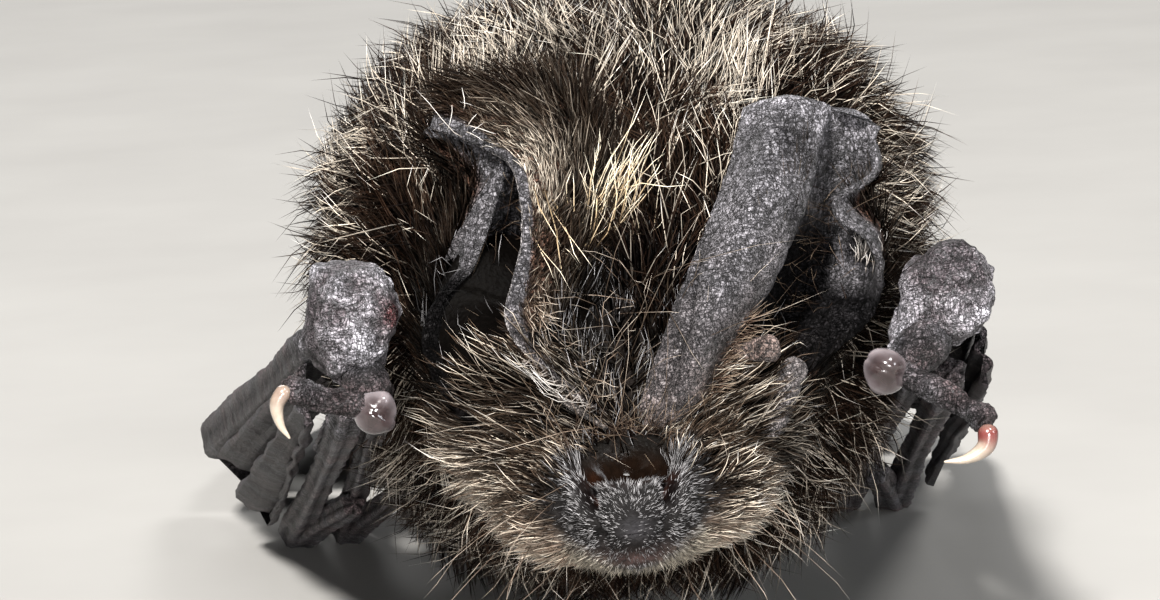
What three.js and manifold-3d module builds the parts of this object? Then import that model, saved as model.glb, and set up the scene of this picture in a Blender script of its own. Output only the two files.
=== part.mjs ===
// A western barbastelle bat at rest on its belly, life size, its folded wings propped beside it.
// Millimetres, +Z up. The bat faces -Y and its left side is +X. The origin lies on the floor,
// under the middle of the whole animal. The trunk, neck and head reach out to the tips of the fur.
import * as THREE from "three";
import Module from "manifold-3d";
import { mergeVertices } from "three/addons/utils/BufferGeometryUtils.js";

const wasm = await Module();
wasm.setup();

// ---------------------------------------------------------------- driving dimensions

const GAP = 0.3; // clearance between neighbouring pieces
const SHEET = 0.5; // thickness of ears and flight membranes
const FOREARM_LENGTH = 39;
const SHIN_LENGTH = 18.5;
const TAIL_LENGTH = 42;
const METACARPAL_LENGTH = 35.5;
const FIRST_PHALANX_LENGTH = 14;
const EYE_RADIUS = 0.65;
const BODY_SIDES = 22; // facets around the furred body

const HEAD_PITCH = 22; // degrees the snout points below the horizon
const HEAD_YAW = -3;
const HEAD_ROLL = -4;
const NOSE_TIP = [-1.3, 0, 9]; // the head's own frame starts here, -Y out of the snout

const MUZZLE_END = 4.35; // where the bare muzzle meets the furred head, back from the nose tip
const HEAD_END = 13;

// The fur's outline along the head, in the head's frame: [y, half width, top, widest level, bottom]
const HEAD_STATIONS = [
  [MUZZLE_END, 4.2, 1.1, -1.2, -3.5],
  [6, 5.6, 2.7, -1.2, -4.6],
  [8, 6.7, 4.6, -0.8, -5.3],
  [10.5, 7.3, 6.3, -0.3, -6],
  [HEAD_END, 7.6, 7.3, 0, -6.3],
];

// The muzzle's outline in the same frame, from the nose tip back
const MUZZLE_STATIONS = [
  [-0.15, 0.5, -0.3, -0.65, -1],
  [0.1, 1.35, 0.45, -0.6, -1.7],
  [0.7, 2.1, 0.9, -0.65, -2.25],
  [1.6, 2.95, 0.95, -0.8, -2.6],
  [2.8, 3.5, 0.75, -1, -2.95],
  [MUZZLE_END, 4.2, 1.1, -1.2, -3.5],
];
const MOUTH_LEVEL = -1.95;
const CHIN_SETBACK = 0.4; // the lower lip starts this far behind the nose tip
const NOSE_PATCH = { centre: [0, 1.55, 0.95], radii: [1.05, 0.95, 0.55] };
const NOSTRIL = { centre: [1.05, 0.55, 0.75], radii: [0.24, 0.5, 0.5], slant: 28 };
const EYE_CENTRE = [3.3, 5, -0.7];

// Where the trunk's pieces end, along Y
const TRUNK_START = 11;
const NECK_END = 17;
const CHEST_END = 27.5;
const ABDOMEN_END = 39.5;
const RUMP_END = 52;

// The trunk's fur outline in the part's frame: [y, half width, top, widest level, bottom]
const TRUNK_STATIONS = [
  [TRUNK_START, 7.6, 21.5, 14.5, 6.5],
  [15, 9.8, 23.2, 15, 3.2],
  [20, 11.2, 23.7, 14.5, 1.6],
  [26, 10.7, 21.2, 11.5, -0.3],
  [32, 10.1, 18, 9.5, -0.8],
  [38, 9.3, 14.8, 8, -0.8],
  [44, 8, 11.6, 6.3, -0.6],
  [49, 6, 8.6, 4.8, -0.3],
  [RUMP_END, 3.4, 6, 3.6, 0.6],
];

// Ears: each rail runs from the ear's base on the forehead to its tip, in the head's frame.
// A level of the ear is the smooth line through the rails, from the inner margin to the outer one.
const EAR_LEFT_RAILS = {
  innerMargin: [[0.5, 4.8, 0.7], [1.5, 6.4, 2.3], [2.5, 8.1, 3.6], [3.6, 10, 4.8], [4.5, 12.3, 6.2]],
  frontRoll: [[1.3, 4.4, 0.7], [2.5, 5.7, 2.5], [3.6, 7.2, 3.9], [4.7, 8.9, 5.2], [5.8, 12, 6.6]],
  rollEdge: [[2.1, 5.1, 0.4], [3.3, 6.4, 1.8], [4.7, 7.7, 3], [6, 9.5, 4.4], [6.9, 12.2, 6.1]],
  behindRoll: [[2.3, 6, -0.8], [3.2, 7.9, 0.8], [4.6, 9.5, 2], [5.8, 11, 3.6], [7.2, 12.6, 5.7]],
  hollow: [[3.3, 6.6, -2], [4.5, 9.6, -0.6], [6.1, 11.4, 0.6], [6.9, 12.2, 2.7], [7.7, 12.8, 5.5]],
  outerWall: [[4.4, 5.8, -1.6], [6.1, 8.4, -0.3], [7.9, 10.2, 1], [7.9, 11.2, 3.1], [8.3, 12.4, 5.3]],
  outerMargin: [[4.1, 4.5, -0.8], [5.5, 6.8, 0.8], [8, 9.1, 2.4], [7, 10, 3.9], [8.6, 11.9, 5.1]],
};
const EAR_RIGHT_RAILS = {
  innerMargin: [[-0.6, 4.6, 0.7], [-2.6, 5.9, 2.6], [-2.1, 7.8, 4.4], [-2.4, 9.8, 6], [-4.8, 11.6, 7.3]],
  innerWall: [[-0.4, 5.5, 0.3], [-1.2, 7.2, 1.8], [-0.6, 9.4, 3.6], [-0.6, 11.2, 6], [-3.4, 12.3, 7.6]],
  hollow: [[-2, 6.5, -0.9], [-3, 9.2, 0.5], [-3, 10.9, 2.3], [-2.9, 11.9, 4.6], [-3.9, 12.8, 6.9]],
  outerWall: [[-3.6, 5.9, -1], [-5.1, 8.8, 0.6], [-5.2, 10.3, 2.2], [-4.1, 11.3, 4.5], [-4.9, 12.3, 6.5]],
  outerMargin: [[-4, 4.8, -0.4], [-5.4, 7.6, 1.7], [-4.7, 9, 3.3], [-3.6, 10.3, 5.1], [-5.2, 11.6, 6.7]],
};

// What differs between the two folded wings, in the part's frame. X is counted outward.
const WINGS = {
  left: {
    side: 1,
    wristBlock: [[9.45, 8, 15.2], [8.95, 8, 13.3], [7.8, 7.4, 11.9]],
    pad: [6.95, 6.5, 11.75],
    thumb: [[7.9, 6.6, 11.3], [8.7, 6.1, 10.85], [9.6, 5.7, 10.25]],
    claw: [[9.75, 5.6, 9.95], [9.45, 5.4, 9.4], [8.4, 5.3, 9.2]],
  },
  right: {
    side: -1,
    wristBlock: [[9.15, 8, 15.3], [9.05, 8, 13.4], [8.65, 7.4, 12]],
    pad: [8.4, 6.4, 11.5],
    thumb: [[9.1, 6.3, 11.85], [10, 5.9, 12.35], [10.8, 5.6, 12.6]],
    claw: [[11.1, 5.4, 12.35], [11.3, 5.3, 11.8], [11, 5.3, 11.1]],
  },
};
const FOREARM_START = [9.7, 9.6, 13.3];
const FOREARM_OUTWARD = 6; // degrees between the forearm and the body's long axis, seen from above
const FOREARM_DOWN = 14.5; // degrees the forearm slopes down toward the elbow
const SHOULDER = [6.4, 22.5, 12.5];
const HIP = [2.5, 41, 6];
const KNEE = [10.6, 52, 5.4];
const TAIL_ROOT = [0, 50, 3];

// Skeleton of the hand: where each long finger leaves the wrist and which way it runs back
const FINGERS = [
  { name: "finger_3", root: [9.2, 9.4, 10.9], outward: 3.4, down: 17.1, radius: 0.72, tipShift: -1.3 },
  { name: "finger_4", root: [8.2, 9.6, 11.3], outward: 2, down: 17.9, radius: 0.62, tipShift: -1.2 },
];
const LAST_FINGER = { name: "finger_5", root: [8.5, 9.9, 12.9], outward: 2.6, down: 15.9, radius: 0.6 };

const COLOURS = {
  fur: { color: 0x2b211b, roughness: 0.85 },
  muzzle: { color: 0x25221f, roughness: 0.7 },
  skin: { color: 0x34343a, roughness: 0.6 },
  nose: { color: 0x1c120c, roughness: 0.25 },
  pad: { color: 0x7d7274, roughness: 0.2 },
  claw: { color: 0xd9c9b4, roughness: 0.2 },
  eye: { color: 0x0a0706, roughness: 0.08 },
};

// ---------------------------------------------------------------- closed surfaces

function vector(point) {
  return point.isVector3 ? point.clone() : new THREE.Vector3(...point);
}

function signedVolume(points, triangles) {
  let volume = 0;
  for (const [a, b, c] of triangles) {
    volume += points[a].dot(new THREE.Vector3().crossVectors(points[b], points[c])) / 6;
  }
  return volume;
}

// A closed mesh from points and triangles, turned the right way out.
function closedGeometry(points, triangles) {
  const outward = signedVolume(points, triangles) > 0;
  const index = triangles.flatMap(([a, b, c]) => (outward ? [a, b, c] : [a, c, b]));
  const geometry = new THREE.BufferGeometry().setFromPoints(points);
  geometry.setIndex(index);
  return geometry;
}

// A closed body through a row of rings with equal point counts. Each end is a fan.
function loft(rings) {
  const around = rings[0].length;
  const points = rings.flat();
  const triangles = [];
  for (let ring = 0; ring < rings.length - 1; ring += 1) {
    for (let i = 0; i < around; i += 1) {
      const a = ring * around + i;
      const b = ring * around + ((i + 1) % around);
      triangles.push([a, b, b + around], [a, b + around, a + around]);
    }
  }
  for (const [ring, reversed] of [[0, true], [rings.length - 1, false]]) {
    const centre = points.length;
    points.push(meanOf(rings[ring]));
    for (let i = 0; i < around; i += 1) {
      const a = ring * around + i;
      const b = ring * around + ((i + 1) % around);
      triangles.push(reversed ? [b, a, centre] : [a, b, centre]);
    }
  }
  return closedGeometry(points, triangles);
}

function meanOf(points) {
  const sum = new THREE.Vector3();
  points.forEach((point) => sum.add(point));
  return sum.divideScalar(points.length);
}

// Smooth values between rows sorted by their first column.
function profile(rows) {
  const slope = (i, column) => {
    const before = rows[Math.max(i - 1, 0)];
    const after = rows[Math.min(i + 1, rows.length - 1)];
    return (after[column] - before[column]) / (after[0] - before[0]);
  };
  return (at) => {
    let i = 0;
    while (i < rows.length - 2 && at > rows[i + 1][0]) i += 1;
    const span = rows[i + 1][0] - rows[i][0];
    const t = (at - rows[i][0]) / span;
    return rows[i].slice(1).map((value, k) => {
      const column = k + 1;
      const next = rows[i + 1][column];
      const rise = next - value;
      const start = slope(i, column) * span;
      const end = slope(i + 1, column) * span;
      return value + t * start + t * t * (3 * rise - 2 * start - end) + t ** 3 * (start + end - 2 * rise);
    });
  };
}

// An egg-shaped ring in a plane of constant y.
function bodyRing(outline, y, around, grow = 0) {
  const [halfWidth, top, level, bottom] = outline(y);
  const ring = [];
  for (let i = 0; i < around; i += 1) {
    const angle = (i / around) * 2 * Math.PI;
    const height = Math.sin(angle) > 0 ? top - level : level - bottom;
    const side = Math.sign(Math.cos(angle)) * Math.abs(Math.cos(angle)) ** 0.9;
    const rise = Math.sign(Math.sin(angle)) * Math.abs(Math.sin(angle)) ** 0.9;
    ring.push(new THREE.Vector3((halfWidth + grow) * side, y, level + (height + grow) * rise));
  }
  return ring;
}

function bodyLoft(stations, from, to, steps, around, grow = 0) {
  const outline = profile(stations);
  const rings = [];
  for (let i = 0; i <= steps; i += 1) {
    rings.push(bodyRing(outline, from + ((to - from) * i) / steps, around, grow));
  }
  return loft(rings);
}

// A round limb along a smooth path with a radius at each of its points. Its ends are rounded or flat.
function limb(path, radii, { steps = 6, around = 7, squash = 1, grow = 0, rounded = true } = {}) {
  const curve = new THREE.CatmullRomCurve3(path.map(vector));
  const radiusAt = profile(radii.map((radius, i) => [i / (radii.length - 1), radius]));
  const length = curve.getLength();
  const ends = rounded ? [[0, 0.5], [0.35, 0.87]] : [[0, 0.8]];
  const run = curve.getPoint(1).sub(curve.getPoint(0)).normalize();
  const reference = Math.abs(run.z) > 0.7 ? new THREE.Vector3(0, 1, 0) : new THREE.Vector3(0, 0, 1);
  const rings = [];
  const addRing = (t, scale, shift) => {
    const radius = (radiusAt(t)[0] + grow) * scale;
    const tangent = curve.getTangent(t);
    const across = reference.clone().cross(tangent).normalize();
    const over = new THREE.Vector3().crossVectors(tangent, across);
    const centre = curve.getPoint(t).addScaledVector(tangent, shift);
    const ring = [];
    for (let i = 0; i < around; i += 1) {
      const angle = ((i + 0.5) / around) * 2 * Math.PI;
      ring.push(centre.clone()
        .addScaledVector(across, radius * squash * Math.cos(angle))
        .addScaledVector(over, radius * Math.sin(angle)));
    }
    rings.push(ring);
  };
  for (const [distance, scale] of ends) addRing((distance * radii[0]) / length, scale, -grow);
  for (let i = 1; i < steps; i += 1) addRing(i / steps, 1, 0);
  for (const [distance, scale] of ends.reverse()) {
    addRing(1 - (distance * radii[radii.length - 1]) / length, scale, grow);
  }
  return loft(rings);
}

// A sheet of even thickness over a surface given by two numbers from 0 to 1.
function sheet(surface, across, along, thickness = SHEET) {
  const step = 1e-3;
  const points = [];
  for (const face of [0.5, -0.5]) {
    for (let j = 0; j <= along; j += 1) {
      for (let i = 0; i <= across; i += 1) {
        const [u, v] = [i / across, j / along];
        const du = surface(Math.min(u + step, 1), v).sub(surface(Math.max(u - step, 0), v));
        const dv = surface(u, Math.min(v + step, 1)).sub(surface(u, Math.max(v - step, 0)));
        const normal = du.cross(dv).normalize();
        points.push(surface(u, v).addScaledVector(normal, face * thickness));
      }
    }
  }
  const row = across + 1;
  const layer = row * (along + 1);
  const triangles = [];
  const quad = (a, b, c, d) => triangles.push([a, b, c], [a, c, d]);
  for (let j = 0; j < along; j += 1) {
    for (let i = 0; i < across; i += 1) {
      const a = j * row + i;
      quad(a, a + 1, a + 1 + row, a + row);
      quad(layer + a, layer + a + row, layer + a + 1 + row, layer + a + 1);
    }
    quad(j * row, (j + 1) * row, layer + (j + 1) * row, layer + j * row);
    const edge = j * row + across;
    quad(edge, layer + edge, layer + edge + row, edge + row);
  }
  for (let i = 0; i < across; i += 1) {
    quad(i, layer + i, layer + i + 1, i + 1);
    const far = along * row + i;
    quad(far, far + 1, layer + far + 1, layer + far);
  }
  return closedGeometry(points, triangles);
}

function ball(centre, radii, columns = 9, rows = 6) {
  const geometry = new THREE.SphereGeometry(1, columns, rows);
  geometry.scale(...(Array.isArray(radii) ? radii : [radii, radii, radii]));
  geometry.translate(...centre);
  return geometry;
}

function block(min, max) {
  const size = max.map((value, i) => value - min[i]);
  const geometry = new THREE.BoxGeometry(...size);
  geometry.translate(...max.map((value, i) => (value + min[i]) / 2));
  return geometry;
}

// ---------------------------------------------------------------- cutting and joining

function solid(geometry) {
  const bare = geometry.clone();
  bare.deleteAttribute("normal");
  bare.deleteAttribute("uv");
  const merged = mergeVertices(bare, 1e-4);
  return new wasm.Manifold(new wasm.Mesh({
    numProp: 3,
    vertProperties: merged.attributes.position.array,
    triVerts: new Uint32Array(merged.index.array),
  }));
}

function geometryOf(shape) {
  const mesh = shape.getMesh();
  const geometry = new THREE.BufferGeometry();
  geometry.setAttribute("position", new THREE.BufferAttribute(mesh.vertProperties, 3));
  geometry.setIndex(new THREE.BufferAttribute(mesh.triVerts, 1));
  return geometry;
}

function largest(shape) {
  return shape.decompose().reduce((a, b) => (a.volume() > b.volume() ? a : b));
}

function cut(shape, ...tools) {
  return largest(tools.reduce((rest, tool) => rest.subtract(tool), shape));
}

const ABOVE_FLOOR = solid(block([-60, -60, 0], [60, 160, 60]));

function onFloor(shape) {
  return shape.intersect(ABOVE_FLOOR);
}

function tidy(shape) {
  return largest(shape.simplify(0.06));
}

function addMesh(group, name, shape, colour) {
  const material = new THREE.MeshStandardMaterial({ ...COLOURS[colour], metalness: 0 });
  const mesh = new THREE.Mesh(geometryOf(tidy(shape)), material);
  mesh.name = name;
  group.add(mesh);
}

// ---------------------------------------------------------------- directions

function radians(degrees) {
  return THREE.MathUtils.degToRad(degrees);
}

// The point a length away from a start, running back, outward and down by two angles.
function reach(start, length, outward, down) {
  const [x, y, z] = start;
  const level = length * Math.cos(radians(down));
  return [
    x + level * Math.sin(radians(outward)),
    y + level * Math.cos(radians(outward)),
    z - length * Math.sin(radians(down)),
  ];
}

// A point counted outward from the body's midline, on one side of it.
function onSide(side, [x, y, z]) {
  return [side * x, y, z];
}

function between(a, b, t) {
  return a.map((value, i) => value + (b[i] - value) * t);
}

// ---------------------------------------------------------------- ears

function railPoint(rail, height) {
  const curve = new THREE.CatmullRomCurve3(rail.map(vector));
  const inside = Math.min(Math.max(height, 0), 1);
  const tangent = curve.getTangent(inside);
  return curve.getPoint(inside).addScaledVector(tangent, (height - inside) * curve.getLength());
}

function earSurface(rails) {
  return (across, height) => {
    const level = Object.values(rails).map((rail) => railPoint(rail, height));
    return new THREE.CatmullRomCurve3(level).getPoint(across);
  };
}

function earShell(rails) {
  return solid(sheet(earSurface(rails), 13, 8));
}

// A coarser, thicker ear, for the fur and the tragus to keep clear of.
function earPlace(rails) {
  return solid(sheet(earSurface(rails), 8, 5, SHEET + 3.4 * GAP));
}

// The room that an ear takes out of the fur: its hollow, its own thickness and a gap behind it.
function earRoom(rails, chosen, clearance) {
  const rings = [];
  const steps = 6;
  for (let step = 0; step <= steps; step += 1) {
    const height = -0.04 + (1.1 * step) / steps;
    const level = chosen.map((name) => railPoint(rails[name], height));
    const centre = meanOf(level);
    const ring = level.map((point) => {
      const away = point.clone().sub(centre).normalize();
      return point.clone().addScaledVector(away, clearance);
    });
    const first = ring[0].clone().add(new THREE.Vector3(0, -5, 3));
    const last = ring[ring.length - 1].clone().add(new THREE.Vector3(0, -5, 3));
    rings.push([...ring, last, first]);
  }
  return solid(loft(rings));
}

function tragus(side) {
  const path = [[3.9, 6.2, -0.7], [4.2, 6.5, 0.3], [4.9, 6.9, 1]].map((point) => onSide(side, point));
  return solid(limb(path, [0.5, 0.5, 0.42], { around: 7, steps: 5 }));
}

// ---------------------------------------------------------------- head

function eyeCentre(side) {
  return onSide(side, EYE_CENTRE);
}

function nostril(side) {
  const geometry = ball([0, 0, 0], NOSTRIL.radii);
  geometry.rotateZ(radians(side * NOSTRIL.slant));
  geometry.translate(...onSide(side, NOSTRIL.centre));
  return solid(geometry);
}

// The muzzle is parted at the mouth, and the bare patch of the nose lies in its top.
function addMuzzle(group) {
  const start = MUZZLE_STATIONS[0][0];
  const whole = solid(bodyLoft(MUZZLE_STATIONS, start, MUZZLE_END - GAP, 7, 20));
  const nose = solid(ball(NOSE_PATCH.centre, NOSE_PATCH.radii));
  const nosePlace = solid(ball(NOSE_PATCH.centre, NOSE_PATCH.radii.map((radius) => radius + GAP)));
  const nostrils = [nostril(1), nostril(-1)];
  const far = 9; // beyond the muzzle on every side
  const aboveMouth = block([-far, -far, MOUTH_LEVEL + GAP / 2], [far, far, far]);
  const belowMouth = block([-far, CHIN_SETBACK, -far], [far, far, MOUTH_LEVEL - GAP / 2]);
  const upper = whole.intersect(solid(aboveMouth));
  addMesh(group, "muzzle", cut(upper, nosePlace, ...nostrils), "muzzle");
  addMesh(group, "nose", whole.intersect(nose), "nose");
  addMesh(group, "lower_jaw", whole.intersect(solid(belowMouth)), "muzzle");
}

function addHead(group) {
  const rooms = [
    earRoom(EAR_LEFT_RAILS, ["innerMargin", "behindRoll", "hollow", "outerWall", "outerMargin"], 0.62),
    earRoom(EAR_RIGHT_RAILS, ["innerMargin", "innerWall", "hollow", "outerWall", "outerMargin"], 0.62),
    earPlace(EAR_LEFT_RAILS),
    earPlace(EAR_RIGHT_RAILS),
    wingRoom(1, group),
    wingRoom(-1, group),
  ];
  const eyes = [1, -1].map((side) => solid(ball(eyeCentre(side), EYE_RADIUS)));
  const sockets = [1, -1].map((side) => solid(ball(eyeCentre(side), EYE_RADIUS + GAP)));
  const skull = solid(bodyLoft(HEAD_STATIONS, MUZZLE_END, HEAD_END, 5, BODY_SIDES));
  addMesh(group, "head", cut(skull, ...rooms, ...sockets), "fur");
  addMesh(group, "eye_left", eyes[0], "eye");
  addMesh(group, "eye_right", eyes[1], "eye");
  addMesh(group, "ear_left", cut(earShell(EAR_LEFT_RAILS), ...sockets), "skin");
  addMesh(group, "ear_right", cut(earShell(EAR_RIGHT_RAILS), ...sockets), "skin");
  addMesh(group, "tragus_left", cut(tragus(1), earPlace(EAR_LEFT_RAILS), ...sockets), "skin");
  addMesh(group, "tragus_right", cut(tragus(-1), earPlace(EAR_RIGHT_RAILS), ...sockets), "skin");
}

// ---------------------------------------------------------------- trunk

// The room of one folded wing beside the body, which the fur leaves free, in the frame of a group.
function wingRoom(side, group) {
  const path = [[9.7, -1, 14.2], [9.5, 8, 13.2], [9.8, 18, 9.8], [10.6, 31, 6.4], [11.6, 47, 2.4]];
  const points = path.map((point) => group.worldToLocal(vector(onSide(side, point))));
  return solid(limb(points, [3.9, 3.8, 3.3, 3.1, 3.3], { squash: 0.88, steps: 8, around: 8 }));
}

function addNeck(group, headGroup, rooms) {
  const outline = profile(HEAD_STATIONS);
  const around = BODY_SIDES;
  const first = bodyRing(outline, HEAD_END, around).map((point) => {
    point.y += GAP;
    return point.applyMatrix4(headGroup.matrixWorld);
  });
  const last = bodyRing(profile(TRUNK_STATIONS), NECK_END, around);
  const rings = [];
  for (let step = 0; step <= 4; step += 1) {
    const t = step / 4;
    const swell = Math.sin((t * Math.PI) / 2);
    rings.push(first.map((point, i) => {
      const ringPoint = point.clone().lerp(last[i], swell);
      ringPoint.y = point.y + (last[i].y - point.y) * t;
      return ringPoint;
    }));
  }
  addMesh(group, "neck", cut(solid(loft(rings)), ...rooms), "fur");
}

function addTrunk(group, rooms) {
  const pieces = [
    ["chest", NECK_END + GAP, CHEST_END, 4],
    ["abdomen", CHEST_END + GAP, ABDOMEN_END, 4],
    ["rump", ABDOMEN_END + GAP, RUMP_END, 5],
  ];
  for (const [name, from, to, steps] of pieces) {
    const piece = solid(bodyLoft(TRUNK_STATIONS, from, to, steps, BODY_SIDES));
    addMesh(group, name, onFloor(cut(piece, ...rooms)), "fur");
  }
}

// The whole trunk with a gap around it, for the limbs and membranes to keep clear of.
function trunkRoom() {
  return solid(bodyLoft(TRUNK_STATIONS, TRUNK_START, RUMP_END + GAP, 12, BODY_SIDES, 1.4 * GAP));
}

// ---------------------------------------------------------------- folded wings

function forearm(side, grow) {
  const elbow = reach(FOREARM_START, FOREARM_LENGTH, FOREARM_OUTWARD, FOREARM_DOWN);
  const path = [0, 0.35, 0.75, 1].map((t) => onSide(side, between(FOREARM_START, elbow, t)));
  return solid(limb(path, [0.95, 0.8, 1.25, 1.05], { steps: 7, around: 8, grow }));
}

function upperArm(side, grow) {
  const elbow = reach(FOREARM_START, FOREARM_LENGTH - 1.2, FOREARM_OUTWARD, FOREARM_DOWN);
  const end = [elbow[0] - 1.6, elbow[1] - 0.5, elbow[2] + 0.6];
  const path = [0, 0.5, 1].map((t) => onSide(side, between(SHOULDER, end, t)));
  return solid(limb(path, [1.4, 1.1, 0.9], { steps: 5, around: 8, grow }));
}

function wrist(wing, grow) {
  const path = wing.wristBlock.map((point) => onSide(wing.side, point));
  return solid(limb(path, [1.4, 1.5, 1.05], { steps: 6, around: 11, squash: 1.08, grow }));
}

function wristPad(wing, grow) {
  return solid(ball(onSide(wing.side, wing.pad), [0.72 + grow, 0.7 + grow, 0.62 + grow]));
}

function thumb(wing, grow) {
  const path = wing.thumb.map((point) => onSide(wing.side, point));
  return solid(limb(path, [0.55, 0.42, 0.5], { steps: 5, around: 8, grow }));
}

function thumbClaw(wing) {
  const path = wing.claw.map((point) => onSide(wing.side, point));
  return solid(limb(path, [0.36, 0.3, 0.14], { steps: 6, around: 7 }));
}

// A long finger: its bone runs back to the knuckle on the floor, and its tip folds forward beside it.
function finger(side, spec, grow) {
  const { root, outward, down, radius, tipShift } = spec;
  const knuckle = reach(root, METACARPAL_LENGTH, outward, down);
  const beside = between(knuckle, root, FIRST_PHALANX_LENGTH / METACARPAL_LENGTH);
  const fold = [beside[0] + tipShift, beside[1], beside[2] - 0.5];
  const bones = [[[root, between(root, knuckle, 0.5), knuckle], [0.9, 0.75, 1.15]]];
  bones.push([[knuckle, fold], [1, 0.8]]);
  const shapes = bones.map(([path, widths]) => {
    const points = path.map((point) => onSide(side, point));
    const radii = widths.map((width) => width * radius);
    return solid(limb(points, radii, { steps: 3, around: 6, grow, rounded: false }));
  });
  return onFloor(shapes[0].add(shapes[1]));
}

function lastFinger(side, grow) {
  const { root, outward, down, radius } = LAST_FINGER;
  const knuckle = reach(root, METACARPAL_LENGTH - 2, outward, down);
  const path = [0, 0.5, 1].map((t) => onSide(side, between(root, knuckle, t)));
  return solid(limb(path, [0.8, 0.7, 0.9].map((width) => width * radius), { steps: 4, around: 6, grow }));
}

// The wing's skin between the fingers, gathered in long pleats outside them.
function handMembrane(side) {
  const elbow = reach(FOREARM_START, FOREARM_LENGTH, FOREARM_OUTWARD, FOREARM_DOWN);
  const knuckle = reach(FINGERS[0].root, METACARPAL_LENGTH, FINGERS[0].outward, FINGERS[0].down);
  const pleats = 2;
  return solid(sheet((across, along) => {
    const t = 0.04 + 0.84 * along;
    const upper = between(FOREARM_START, elbow, t);
    const lower = between(FINGERS[0].root, knuckle, t);
    const point = between(
      [upper[0] + 0.5, upper[1], upper[2] - 1.35],
      [lower[0] + 1.3, lower[1], lower[2] - 0.2],
      across,
    );
    const fold = 0.22 * Math.sin(across * pleats * 2 * Math.PI) * (1 + along);
    return vector(onSide(side, [point[0] + fold, point[1], point[2]]));
  }, 8, 3));
}

// The wing's skin between elbow, body and ankle, draped in two soft folds.
function armMembrane(side, ankle) {
  const elbow = reach(FOREARM_START, FOREARM_LENGTH, FOREARM_OUTWARD, FOREARM_DOWN);
  const besideElbow = [elbow[0] + 0.2, elbow[1] + 1.6, elbow[2] + 0.3];
  const besideAnkle = [ankle[0] + 1.3, ankle[1] - 1.5, 1.3];
  const rimCurve = new THREE.CatmullRomCurve3([besideElbow, [13.6, 56, 2.2], besideAnkle].map(vector));
  const leg = new THREE.CatmullRomCurve3([[7.4, 47.5, 5], [9.6, 52.5, 5.2], ankle].map(vector));
  return solid(sheet((across, along) => {
    const point = leg.getPoint(along).lerp(rimCurve.getPoint(along), across);
    point.z += 0.45 * Math.sin(across * 3 * Math.PI) * Math.sin(along * Math.PI);
    point.x *= side;
    return point;
  }, 6, 5));
}

function addWing(group, name, wing, body, ankle) {
  const side = wing.side;
  const thumbPlace = thumb(wing, GAP);
  const padPlace = wristPad(wing, GAP);
  const forearmPlace = forearm(side, GAP);
  const wristPlace = wrist(wing, GAP);
  const armPlaces = [forearmPlace, upperArm(side, GAP)];
  addMesh(group, "forearm_" + name, forearm(side, 0), "skin");
  addMesh(group, "upper_arm_" + name, cut(upperArm(side, 0), forearmPlace, body), "fur");
  addMesh(group, "wrist_" + name, cut(wrist(wing, 0), forearmPlace, padPlace), "skin");
  addMesh(group, "wrist_pad_" + name, wristPad(wing, 0), "pad");
  addMesh(group, "thumb_" + name, cut(thumb(wing, 0), wristPlace, padPlace), "skin");
  addMesh(group, "thumb_claw_" + name, cut(thumbClaw(wing), thumbPlace), "claw");
  const fingerPlaces = [];
  for (const spec of FINGERS) {
    const shape = cut(finger(side, spec, 0), wristPlace, padPlace, ...armPlaces, ...fingerPlaces);
    addMesh(group, spec.name + "_" + name, shape, "skin");
    fingerPlaces.push(finger(side, spec, GAP));
  }
  const last = cut(lastFinger(side, 0), wristPlace, padPlace, ...armPlaces, ...fingerPlaces);
  addMesh(group, "finger_5_" + name, last, "skin");
  fingerPlaces.push(lastFinger(side, GAP));
  const pleats = cut(handMembrane(side), wristPlace, ...armPlaces, ...fingerPlaces);
  addMesh(group, "hand_membrane_" + name, pleats, "skin");
  const legPlaces = [thigh(side, GAP), shin(side, ankle, GAP), foot(side, ankle, GAP)];
  const drape = cut(armMembrane(side, ankle), ...armPlaces, ...fingerPlaces, ...legPlaces, body);
  addMesh(group, "arm_membrane_" + name, onFloor(drape), "skin");
}

// ---------------------------------------------------------------- hind legs and tail

function thigh(side, grow) {
  const path = [0, 0.6, 1].map((t) => onSide(side, between(HIP, KNEE, t)));
  return solid(limb(path, [2.2, 1.6, 1.1], { steps: 4, grow }));
}

function shin(side, ankle, grow) {
  const path = [0, 0.4, 1].map((t) => onSide(side, between(KNEE, ankle, t)));
  return solid(limb(path, [1, 0.8, 0.65], { steps: 4, grow }));
}

// A foot flat on the floor: a sole and five clawed toes spread like a fan.
function foot(side, ankle, grow) {
  const heel = [ankle[0], ankle[1] + 0.3, 0.75];
  const toeRoots = [ankle[0] + 0.9, ankle[1] + 3, 0.6];
  const solePath = [heel, toeRoots].map((point) => onSide(side, point));
  const sole = limb(solePath, [0.75, 0.95], { steps: 3, squash: 1.2, grow });
  const toes = [-2, -1, 0, 1, 2].map((toe) => {
    const spread = radians(18 + toe * 13);
    const root = [toeRoots[0] + toe * 0.42, toeRoots[1] - 0.2, 0.55];
    const at = (length, z) => [root[0] + length * Math.sin(spread), root[1] + length * Math.cos(spread), z];
    const path = [root, at(1.6, 0.62), at(2.9, 0.5), at(4.1, 0.32)].map((point) => onSide(side, point));
    return solid(limb(path, [0.36, 0.34, 0.3, 0.16], { steps: 2, around: 5, grow, rounded: false }));
  });
  return onFloor(toes.reduce((shape, toe) => shape.add(toe), solid(sole)));
}

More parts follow.
